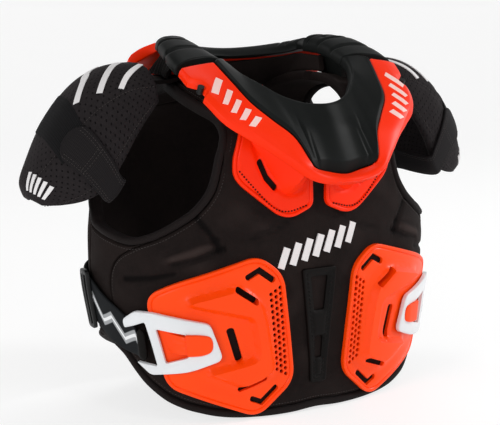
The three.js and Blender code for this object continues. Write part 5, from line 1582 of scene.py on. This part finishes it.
def arm_pad():
    row = edged(52, PAD_LENGTH, 3.0)[:, None]
    turn = (PAD_RIM_TURN + (math.pi - 2 * PAD_RIM_TURN) * edged(46, PAD_LENGTH, 3.0))[None, :]
    border = edge_distance(pad_point(row, turn))
    drop = rounding(border, 3.4)
    along, around = np.broadcast_arrays(row * PAD_LENGTH, turn * PAD_HALF_DEPTH)
    seam = pressed_line(along, around, np.array(PAD_SEAM) * (PAD_LENGTH, PAD_HALF_DEPTH), 1.8, 1.1)
    lift = 0.25 * soft_waves(along, around) * smoothstep(2, 14, border) + seam * smoothstep(0, 6, border)
    outer, inner = on_pad(row, turn, lift - drop), on_pad(row, turn, -PAD_THICKNESS + drop)
    return sheet_object("pad", outer, inner), outer.shape[:2]


# Cloth simulation of the arm pads: frames, pressure, and how far a point may move
CLOTH_FRAMES = 20
CLOTH_PRESSURE = 1.5
CLOTH_REACH = 1.5


def puffed(piece, held):
    """Lets the pad's cloth settle under a little pressure, held at its bound edge."""
    data = piece.data
    start = np.zeros(len(data.vertices) * 3)
    data.vertices.foreach_get("co", start)
    group = piece.vertex_groups.new(name="held")
    group.add([int(k) for k in held], 1.0, "REPLACE")
    cloth = piece.modifiers.new("cloth", "CLOTH")
    cloth.settings.vertex_group_mass = "held"
    cloth.settings.use_pressure = True
    cloth.settings.uniform_pressure_force = CLOTH_PRESSURE
    cloth.settings.effector_weights.gravity = 0.0
    cloth.settings.tension_stiffness = 25.0
    cloth.settings.compression_stiffness = 25.0
    cloth.settings.bending_stiffness = 2.0
    cloth.point_cache.frame_start = 1
    cloth.point_cache.frame_end = CLOTH_FRAMES
    scene = bpy.context.scene
    for number in range(1, CLOTH_FRAMES + 1):
        scene.frame_set(number)
    shown = piece.evaluated_get(bpy.context.evaluated_depsgraph_get())
    end = np.zeros(len(start))
    shown.data.vertices.foreach_get("co", end)
    moved = (end - start).reshape(-1, 3)
    far = np.linalg.norm(moved, axis=1, keepdims=True)
    limit = CLOTH_REACH * MM
    moved *= limit * np.tanh(far / limit) / np.maximum(far, 1e-9)
    piece.modifiers.remove(cloth)
    piece.vertex_groups.remove(group)
    scene.frame_set(1)
    data.vertices.foreach_set("co", start + moved.ravel())
    data.update()


# Ends of the arm band, as places along the pad and turns round it
BAND_START, BAND_END = (0.53, 0.95), (0.4, -math.pi * 1.25)
# Distances of its two rows of stitches from its border
BAND_INSETS = (2.4, 4.6)


def band_place(t):
    row = BAND_START[0] + (BAND_END[0] - BAND_START[0]) * np.minimum(2 * t, 1)
    return row, BAND_START[1] + (BAND_END[1] - BAND_START[1]) * t


def arm_band():
    """Band round the arm, over the top of the pad, with its rounded end at the front."""
    t = np.unique(np.concatenate([np.linspace(0, 0.06, 16), np.linspace(0, 1, 150)]))
    row, turn = band_place(t)
    away = lengths_along(on_pad(row, turn, 0.0))
    reach = np.clip(1 - away / (ARM_STRAP_WIDTH * 0.5), 0, 1)
    half = (ARM_STRAP_WIDTH / 2 / PAD_LENGTH * np.sqrt(np.maximum(1 - reach**2.2, 0.0016)))[:, None]
    across = np.array([-1, -0.97, -0.9, -0.75, -0.5, -0.25, 0, 0.25, 0.5, 0.75, 0.9, 0.97, 1])
    rows = row[:, None] + half * across
    edge = np.minimum((1 - np.abs(across)) * half * PAD_LENGTH, away[:, None] + 0.2)
    drop = rounding(edge, 0.8)
    # A pressed line runs inside the border, where the stitches lie
    pressed = 0.35 * bell(edge - BAND_INSETS[0], 0.8)
    outer = on_pad(rows, turn[:, None], ARM_STRAP_CLEARANCE + ARM_STRAP_THICKNESS - drop - pressed)
    return sheet_object("band", outer, on_pad(rows, turn[:, None], ARM_STRAP_CLEARANCE + drop * 0.5))


PATCH_HALF = 13.5


def hook_patch():
    turn = np.linspace(0.72, math.pi * 0.75, 60)[:, None]
    across = np.array([-1, -0.95, -0.5, 0, 0.5, 0.95, 1])
    rows = np.linspace(0.535, 0.45, 60)[:, None] + PATCH_HALF / PAD_LENGTH * across
    outer = on_pad(rows, turn, 0.72 - 0.35 * (np.abs(across) == 1))
    return sheet_object("patch", outer, on_pad(rows, turn, -0.6))


# Link from the shoulder strap to the pad: its gap, and the strap places it runs over
LINK_THICKNESS = 3.0
LINK_COLUMNS = 4
LINK_GAP = 0.9
LINK_PLACES = ((0.51, 0.0), (0.56, 3.3), (0.61, 3.3))


def link_point(t, j):
    turn = math.pi * (0.3 + 0.4 * j / LINK_COLUMNS)
    end = on_pad(0.1, turn, -PAD_THICKNESS - LINK_GAP - LINK_THICKNESS)
    path = []
    for share, over in LINK_PLACES:
        x = share * TORSO_HALF_WIDTH
        path.append(np.array([x, end[1], shoulder_height(x, end[1]) + LINK_GAP + over]))
    path += [(end + path[-1]) / 2, end]
    at = t * (len(path) - 1)
    i = min(int(at), len(path) - 2)
    return path[i] * (1 - at + i) + path[i + 1] * (at - i)


# Gusset: pleats, thickness, and how far its top lies under and inside the brace's arm
PLEATS = 9
GUSSET_THICKNESS = 3.0
GUSSET_GAP = 1.8
GUSSET_INSET = 5


def gusset():
    """Pleated fan between the brace's arm and the pad."""
    high = index_path(index_path(np.array(SIDE_OUTER) * BRACE_SIZE, 11)[3:], 85)
    places = [link_point(0.56, 0.2 + (LINK_COLUMNS - 0.8) * s) for s in np.linspace(0, 1, 7)]
    low = index_path(places, len(high))
    low[:, 2] += LINK_THICKNESS + LINK_GAP
    high[:, 2] -= SIDE_THICKNESS + GUSSET_GAP
    high[:, 0] -= GUSSET_INSET
    t, v = np.linspace(0, 1, len(high)), np.linspace(0, 1, 17)
    outer = ruled_grid(high, low, v)
    outer[..., 0] += np.cos(t * 2 * math.pi * PLEATS)[:, None] * (0.5 + 1.6 * v * (1 - v) * 2)
    return sheet_object("gusset", outer, outer - np.array([GUSSET_THICKNESS, 0, 0]))


# Elastic strap: middle as steps round the hook, shares of the way to its end and of its rise,
# width as a share, height over the body
SIDE_STRAP_WIDTH = 36.0
SIDE_STRAP_THICKNESS = 2.0
SIDE_STRAP_RISE = 34.0
STRAP_ROLL = 5.7
STRAP_END = 278.0
HOOK_ACROSS = BUCKLE_FRAME[0] + BUCKLE_FRAME[2] * 0.84
BUCKLE_MIDDLE = BUCKLE_FRAME[1] + BUCKLE_FRAME[3] / 2
SIDE_STRAP_ROWS = np.array(
    [
        (0.48, 0, -0.065, 0.62, 5.2),
        (0.7, 0.022, 0.03, 0.7, 3.2),
        (0, 0.136, 0.19, 0.9, 2.2),
        (0, 0.254, 0.41, 1, 2.5),
        (0, 0.384, 0.7, 1, 2.6),
        (0, 0.527, 0.83, 1, 2.6),
        (0, 0.68, 0.91, 1, 2),
        (0, 0.858, 0.95, 1, 0.9),
        (0, 1, 0.95, 1, 0.9),
    ]
)


def strap_middle(rows):
    x = HOOK_ACROSS + rows[:, 0] * STRAP_ROLL + rows[:, 1] * (STRAP_END - HOOK_ACROSS)
    return x, BUCKLE_MIDDLE - rows[:, 2] * SIDE_STRAP_RISE


def elastic_strap():
    x, down = strap_middle(SIDE_STRAP_ROWS)
    rows = np.stack([x, down, SIDE_STRAP_ROWS[:, 3] * SIDE_STRAP_WIDTH, SIDE_STRAP_ROWS[:, 4]], -1)
    x, down, width, high = (column[:, None] for column in smooth_path(rows, 90).T)
    across = np.array([-0.5, -0.49, -0.46, -0.38, -0.25, -0.12, 0, 0.12, 0.25, 0.38, 0.46, 0.49, 0.5])
    angles, downs = np.broadcast_arrays(angle_at(x), down + across * width)
    drop = rounding((0.5 - np.abs(across)) * width, 0.8)
    gathers = 0.25 * np.sin(across * 34) * smoothstep(0.75, 0.62, width / SIDE_STRAP_WIDTH)
    outer = raised(angles, downs, high + SIDE_STRAP_THICKNESS - drop + gathers)
    inner = raised(angles, downs, high + drop * 0.5)
    uv = np.stack(np.broadcast_arrays(x, across * width), -1).reshape(-1, 2)
    return sheet_object("strap", outer, inner, np.vstack([uv, uv]))


ROLL_STATIONS = 30


def strap_roll():
    """Moulded end of the elastic, hooked round the buckle's bar."""
    share = np.linspace(-1, 1, ROLL_STATIONS)
    down = share * 0.36 * SIDE_STRAP_WIDTH + BUCKLE_MIDDLE + 2
    angle = angle_at(np.full(ROLL_STATIONS, HOOK_ACROSS - 0.1))
    path = raised(angle, down, 3.2 + STRAP_ROLL / 2)
    size = np.clip(1 - np.abs(share) ** 8, 0.25, 1)
    up = raised(angle, down, 9.0) - path
    width, height = (STRAP_ROLL + 1.6) * size, STRAP_ROLL * size
    return new_object("roll", *tube(path, up, width, height, sides=18, power=2.4))


SLIDER_WIDTH, SLIDER_LENGTH, SLIDER_THICKNESS, SLIDER_BAR = 16.0, 48.0, 3.0, 4.0


def slider():
    x, down = strap_middle(np.array([(0, 0.44, 0.76)]))
    w, h = SLIDER_WIDTH / 2, SLIDER_LENGTH / 2

    def block(left, right, half, size):
        corners = ((left, half), (left, -half), (right, -half), (right, half))
        return rounded_loop([(x[0] + a, b - down[0], size) for a, b in corners], steps=5)

    near, far = SLIDER_BAR * 0.4, w - SLIDER_BAR * 0.7
    holes = [block(-far, -near, h - SLIDER_BAR, 1), block(near, far, h - SLIDER_BAR, 1)]
    base = 2.6 + SIDE_STRAP_THICKNESS + 0.9

    def height(points):
        return np.full(len(points), base + SLIDER_THICKNESS)

    return moulded_plate("slider", block(-w, w, h, 4.5), holes, height, 1.6, 1.1, base)


def surface_patch(place, first, last, width, thick, sink=0.5):
    """Thin printed patch between two places of a surface, given as pairs of its two ways along."""
    first, last, width = (np.array(pair, float) for pair in (first, last, width))
    share = np.linspace(0, 1, 24)[:, None, None]
    across = np.array([-0.5, -0.45, 0, 0.45, 0.5])[None, :, None]
    way = last - first
    scaled = way / width
    aside = np.array([-scaled[1], scaled[0]]) / np.linalg.norm(scaled) * width
    grid = first + way * share + aside * across
    outer, inner = (place(grid[..., 0], grid[..., 1], lift) for lift in (thick, -sink))
    return sheet_object("bar", outer, inner, sharp=35.0)


# Plain slanted bars printed on the chest: middle round the body, distance down, half height
PRINT_BARS = (
    (-31.0, 187.0, 8.0), (-20.5, 184.5, 8.5), (-10.0, 182.0, 8.5), (0.5, 179.5, 8.5), (11.0, 177.0, 8.5),
    (21.5, 174.5, 8.5), (32.0, 172.0, 8.0),
)
PRINT_BAR_WIDTH = 6.0
PRINT_SLANT = 3.0


def chest_print():
    bars = []
    for middle, down, half in PRINT_BARS:
        first, last = (middle - PRINT_SLANT, -down - half), (middle + PRINT_SLANT, -down + half)
        bars.append(surface_patch(wrapped, first, last, (PRINT_BAR_WIDTH, PRINT_BAR_WIDTH), 0.85, 0.6))
    return joined("chest_print", bars)


def on_yoke(station, share, lift):
    """Places on the yoke's upper face, by its station along the arms and share of its width."""
    index = np.arange(len(yoke_edge))
    inner, outer, ups = (table_at(station, index, table) for table in (yoke_inner, yoke_edge, front_ups))
    high = np.interp(share, (0.0, 0.1, 0.62, 1.0), (0.0, 0.5, YOKE_CROWN * 0.8, 1.3)) + lift
    share, high = np.asarray(share)[..., None], np.asarray(high)[..., None]
    return inner + (outer - inner) * share + unit(ups) * high


# Plain bars printed across each arm of the yoke: first stations along the arm, how far they slant
# and their two shares of its width
YOKE_BARS = (8, 14, 20, 26, 32)
YOKE_BAR_SLANT = 3.5
YOKE_BAR_SHARES = (0.28, 0.74)


def yoke_print():
    near, far = YOKE_BAR_SHARES
    bars = [
        surface_patch(on_yoke, (station, near), (station + YOKE_BAR_SLANT, far), (2.6, 0.2), 0.3)
        for station in YOKE_BARS
    ]
    return joined("yoke_print", bars)


# Plain stripes and bars printed on each arm pad: rows along the pad and turns round it
PAD_STRIPES = (((0.03, 1.25), (0.2, 0.78)), ((0.1, 1.6), (0.3, 0.98)), ((0.17, 1.9), (0.4, 1.2)))
PAD_BARS = tuple(((0.755, turn), (0.875, turn - 0.08)) for turn in (0.6, 0.79, 0.98, 1.17, 1.36))
PAD_PRINT_WIDTH = (5.0 / PAD_LENGTH, 5.0 / PAD_HALF_DEPTH)


def pad_print():
    ends = PAD_STRIPES + PAD_BARS
    return joined("pad_print", [surface_patch(on_pad, *pair, PAD_PRINT_WIDTH, 0.5) for pair in ends])


# Rows of stitches and teeth
def bead_row_tree():
    """Geometry nodes that lay small rounded beads along a path."""
    tree = bpy.data.node_groups.new("beads_along_a_path", "GeometryNodeTree")
    face = tree.interface
    face.new_socket("Geometry", in_out="INPUT", socket_type="NodeSocketGeometry")
    for name in ("Spacing", "Length", "Thickness"):
        face.new_socket(name, in_out="INPUT", socket_type="NodeSocketFloat")
    face.new_socket("Material", in_out="INPUT", socket_type="NodeSocketMaterial")
    face.new_socket("Geometry", in_out="OUTPUT", socket_type="NodeSocketGeometry")
    given = add_node(tree, "NodeGroupInput").outputs
    path = add_node(tree, "GeometryNodeMeshToCurve", inputs={0: given["Geometry"]})
    spaced = {"Curve": path.outputs[0], "Length": given["Spacing"]}
    even = add_node(tree, "GeometryNodeResampleCurve", {"mode": "LENGTH"}, spaced)
    points = add_node(tree, "GeometryNodeCurveToPoints", {"mode": "EVALUATED"}, {"Curve": even.outputs[0]})
    tangent = {"Vector": points.outputs["Tangent"]}
    turn = add_node(tree, "FunctionNodeAlignRotationToVector", {"axis": "X"}, tangent)
    bead = add_node(tree, "GeometryNodeMeshUVSphere", inputs={"Segments": 6, "Rings": 4, "Radius": 0.5})
    sizes = {0: given["Length"], 1: given["Thickness"], 2: given["Thickness"]}
    size = add_node(tree, "ShaderNodeCombineXYZ", inputs=sizes)
    placed_beads = {"Points": points.outputs[0], "Instance": bead.outputs[0], "Rotation": turn.outputs[0]}
    placed_beads["Scale"] = size.outputs[0]
    laid = add_node(tree, "GeometryNodeInstanceOnPoints", inputs=placed_beads)
    real = add_node(tree, "GeometryNodeRealizeInstances", inputs={0: laid.outputs[0]})
    finish = {0: real.outputs[0], "Material": given["Material"]}
    done = add_node(tree, "GeometryNodeSetMaterial", inputs=finish)
    add_node(tree, "NodeGroupOutput", inputs={0: done.outputs[0]})
    return tree


bead_tree = bead_row_tree()


def bead_rows(name, paths, size, material):
    """Beads along several paths, as one piece."""
    spacing, length, thickness = size
    points, edges = [], []
    for path, closed in paths:
        start, count = len(points), len(path)
        points += (np.asarray(path) * MM).tolist()
        edges += [(start + k, start + (k + 1) % count) for k in range(count if closed else count - 1)]
    data = bpy.data.meshes.new(name + "_paths")
    data.from_pydata(points, edges, [])
    guide = bpy.data.objects.new(name, data)
    bpy.context.scene.collection.objects.link(guide)
    beads = guide.modifiers.new("beads", "NODES")
    beads.node_group = bead_tree
    values = {"Spacing": spacing * MM, "Length": length * MM, "Thickness": thickness * MM}
    values["Material"] = material
    for item in bead_tree.interface.items_tree:
        if item.in_out == "INPUT" and item.name in values:
            beads[item.identifier] = values[item.name]
    shown = guide.evaluated_get(bpy.context.evaluated_depsgraph_get())
    made = bpy.data.meshes.new_from_object(shown)
    made.shade_smooth()
    bpy.data.objects.remove(guide)
    piece = bpy.data.objects.new(name, made)
    bpy.context.scene.collection.objects.link(piece)
    return piece


STITCH_LIFT = 0.05


def on_body_path(rows, count, closed=False):
    """Smooth path of stitches over the body, through rows of angle and distance down."""
    return smooth_path(raised(rows[:, 0], rows[:, 1], STITCH_LIFT), count, closed)


# Distances of the stitches from the seams, and inside the hem
SEAM_INSET = 2.6
HEM_INSET = 2.8
# Sizes of stitches and teeth: spacing, length and thickness
EDGE_STITCH = (2.6, 1.9, 0.55)
BAND_STITCH = (2.2, 1.6, 0.5)
PAD_STITCH = (2.6, 1.9, 0.5)
RIM_TOOTH = (2.6, 1.7, 1.3)


def armhole_stitches():
    edge = beside(ARMHOLE, BINDING_MIDDLE + SEAM_INSET, closed=True)
    seam = beside(np.vstack([armhole_edge[FRONT_SEAM : FRONT_SEAM + 1], FRONT_SEAM_ROWS]), SEAM_INSET)
    return [(on_body_path(edge, 400, True), True), (on_body_path(seam, 90), False)]


def hem_stitches():
    return [(on_body_path(beside(hem_loop(), -HEM_INSET, closed=True), 500, True), True)]


def band_stitches():
    """Double rows inside the border of the arm band, and one seam across it."""
    lift = ARM_STRAP_CLEARANCE + ARM_STRAP_THICKNESS
    row, turn = band_place(np.linspace(0.035, 0.45, 120))
    asides = [side * (ARM_STRAP_WIDTH / 2 - inset) / PAD_LENGTH for inset in BAND_INSETS for side in (-1, 1)]
    across = 0.5 + np.linspace(-1, 1, 14) * (ARM_STRAP_WIDTH / 2 - 3) / PAD_LENGTH
    paths = [on_pad(row + aside, turn, lift) for aside in asides]
    return [(path, False) for path in paths + [on_pad(across, at, lift) for at in (0.42, 0.37)]]


def pad_stitches():
    seam = index_path(np.array(PAD_SEAM), 90)
    border = on_pad(np.linspace(0.06, 0.94, 90), PAD_RIM_TURN + PAD_PRINT_WIDTH[1], 0.1)
    return [(on_pad(seam[:, 0] + 0.02, seam[:, 1], STITCH_LIFT), False), (border, False)]


# Path of the small teeth inside the rim of an upper plate
TOOTH_PATH = ((0.91, 0.474), (0.717, 0.666), (0.5, 0.863), (0.32, 0.916), (0.1, 0.87))


def rim_teeth():
    places = smooth_path(framed(UPPER_FRAME, TOOTH_PATH), 60)
    return [(wrapped(places[:, 0], places[:, 1], PLATE_TOP - 0.25), False)]


# Pin in the yoke's notch: width, and its ends over and under its middle
PIN_WIDTH = 5.2
PIN_ENDS = (-3.5, 2.6)


def yoke_pin():
    """Dark pin in the notch of the yoke's arm."""
    station = (1 + (NOTCH_START + NOTCH_END) / 2) * (ARM_STATIONS - 1)
    up = on_yoke(station, 0.9, 1.0) - on_yoke(station, 0.9, 0.0)
    path = on_yoke(station, 0.87, -3.0) + up * np.linspace(*PIN_ENDS, 8)[:, None]
    return new_object("pin", *tube(path, np.array([1.0, 0, 0]), PIN_WIDTH, PIN_WIDTH, sides=16, power=2.0))


# Assembly
settle(front_padding(), fabric, ("front_panel",))
settle(back_padding(), fabric, ("back_panel",))
settle_pair(side_padding(), "padded_side", fabric, "side_panel")
settle_pair(shoulder_padding(), "strap_over_shoulder", fabric, "shoulder_strap")
settle_pair(edge_tape("armhole", ARMHOLE, 240), "armhole_tape", tape, "armhole_binding")
hem_middle = beside(hem_loop(), BINDING_MIDDLE, closed=True)
settle(edge_tape("hem_tape", hem_middle, 420), tape, ("hem_binding",))
settle(channel(), soft_black, ("centre_channel",))
settle_pair(lower_plate(), "rib_plate", orange, "lower_chest_plate")
settle_pair(upper_plate(), "collar_plate", yoke_orange, "upper_chest_plate")
settle_pair(buckle(), "hook_buckle", white_nylon, "buckle")
settle_pair(prong(), "plate_prong", orange)
settle(yoke(), yoke_orange, ("brace_yoke",))
settle(cover(), foam, ("brace_front_cover",))
settle_pair(side_foam(), "brace_foam_side", foam, "brace_side_pad")
settle(rear_rim(), foam, ("brace_rear_rim",))
settle(rear_shell(), yoke_orange, ("brace_rear_shell",))
settle(neck_lining(), fabric, ("neck_liner",))
pad, (columns, rows) = arm_pad()
held = np.ones((2, columns, rows), bool)
held[:, 1:-1, 1:-1] = False
puffed(pad, np.nonzero(held.ravel())[0])
settle_pair(pad, "arm_pad", pad_fabric, "shoulder_pad")
settle_pair(hook_patch(), "hook_patch", loop_pile)
settle_pair(arm_band(), "arm_band", strap_cloth, "arm_strap")
settle_pair(gusset(), "pleated_gusset", soft_black, "shoulder_gusset")
settle_pair(elastic_strap(), "elastic_strap", elastic, "side_strap")
settle_pair(strap_roll(), "strap_roll", soft_black)
settle_pair(slider(), "ladder_slider", black_nylon, "strap_slider")
settle(chest_print(), print_white)
settle(yoke_print(), print_pink)
settle(mirrored_copy(bpy.data.objects["yoke_print"], "yoke_print_left"), print_pink)
settle_pair(pad_print(), "pad_stripes", print_white)
for name, paths, size, slot, material in (
    ("armhole_stitches", armhole_stitches(), EDGE_STITCH, "webbing", thread),
    ("hem_stitches", hem_stitches(), EDGE_STITCH, "webbing", thread),
    ("band_stitches", band_stitches(), BAND_STITCH, "webbing", thread),
    ("pad_stitches", pad_stitches(), PAD_STITCH, "webbing", thread),
    ("rim_teeth", rim_teeth(), RIM_TOOTH, "black_plastic", soft_black),
):
    row = bead_rows(name, paths, size, material)
    if name == "hem_stitches":
        settle(row, material)
    else:
        settle_pair(row, name, material)
settle_pair(yoke_pin(), "yoke_pin", black_nylon)

# Parts of the frame that keep their own shape
for name in ("brace_base", "pad_link"):
    for side in ("left", "right"):
        data = frame["nodes"][name + "_" + side].data
        data.materials.clear()
        data.materials.append(foam if name == "brace_base" else soft_black)

# Floor, lights and world
FLOOR_FLAT = 2.2
FLOOR_BEND = 1.4
FLOOR_WALL = 1.2
FLOOR_SIDES = 64
FLOOR_GLOW = 0.71
floor_z = cad_low[2]
turns = np.linspace(0, 2 * math.pi, FLOOR_SIDES, endpoint=False)
sweep = [(0.6, 0.0), (FLOOR_FLAT, 0.0)]
for bend in np.linspace(0, math.pi / 2, 9)[1:]:
    sweep.append((FLOOR_FLAT + FLOOR_BEND * math.sin(bend), FLOOR_BEND * (1 - math.cos(bend))))
sweep.append((FLOOR_FLAT + FLOOR_BEND, FLOOR_BEND + FLOOR_WALL))
floor_points = [(0.0, 0.0, floor_z)]
floor_points += [(r * math.cos(a), r * math.sin(a), floor_z + z) for r, z in sweep for a in turns]
number = 1 + np.arange(len(sweep) * FLOOR_SIDES).reshape(-1, FLOOR_SIDES)
number = number[:, np.arange(FLOOR_SIDES + 1) % FLOOR_SIDES]
floor_faces = [(0, a, b) for a, b in zip(number[0, :-1].tolist(), number[0, 1:].tolist())]
floor_data = bpy.data.meshes.new("floor")
floor_data.from_pydata(floor_points, [], floor_faces + quads(number).tolist())
floor_data.shade_smooth()
floor = bpy.data.objects.new("floor", floor_data)
bpy.context.scene.collection.objects.link(floor)
glow = {"Emission Color": colour("#FFFFFF"), "Emission Strength": FLOOR_GLOW}
matt = {"Base Color": colour("#A4A4A4"), "Roughness": 0.95, "Specular IOR Level": 0.0}
paper = new_material("matt_paper_sweep", {**matt, **glow})[0]
paper.cycles.emission_sampling = "NONE"
floor_data.materials.append(paper)

# Round lights: name, place, size and power
LIGHTS = (
    ("right", (1.45, -0.6, 0.7), 0.3, 11.0),
    ("left", (-1.45, -0.7, 0.35), 0.4, 5.5),
    ("front", (-0.1, -1.3, 1.8), 0.4, 3.4),
    ("top", (0.2, 0.4, 1.6), 0.6, 4.0),
)
LIGHTS_AIM = (0, 0, -0.12)
WORLD_STRENGTH = 0.16
for name, place, size, power in LIGHTS:
    light_data = bpy.data.lights.new(name, "AREA")
    light_data.shape = "DISK"
    light_data.size = size
    light_data.energy = power
    light = bpy.data.objects.new(name, light_data)
    bpy.context.scene.collection.objects.link(light)
    light.location = place
    light.rotation_euler = (Vector(LIGHTS_AIM) - Vector(place)).to_track_quat("-Z", "Y").to_euler()


world = bpy.data.worlds.new("studio")
bpy.context.scene.world = world
world.use_nodes = True
backdrop = world.node_tree.nodes["Background"].inputs
backdrop[0].default_value = colour("#F7F7F7")
backdrop[1].default_value = WORLD_STRENGTH
bpy.context.scene.view_settings.view_transform = "Standard"
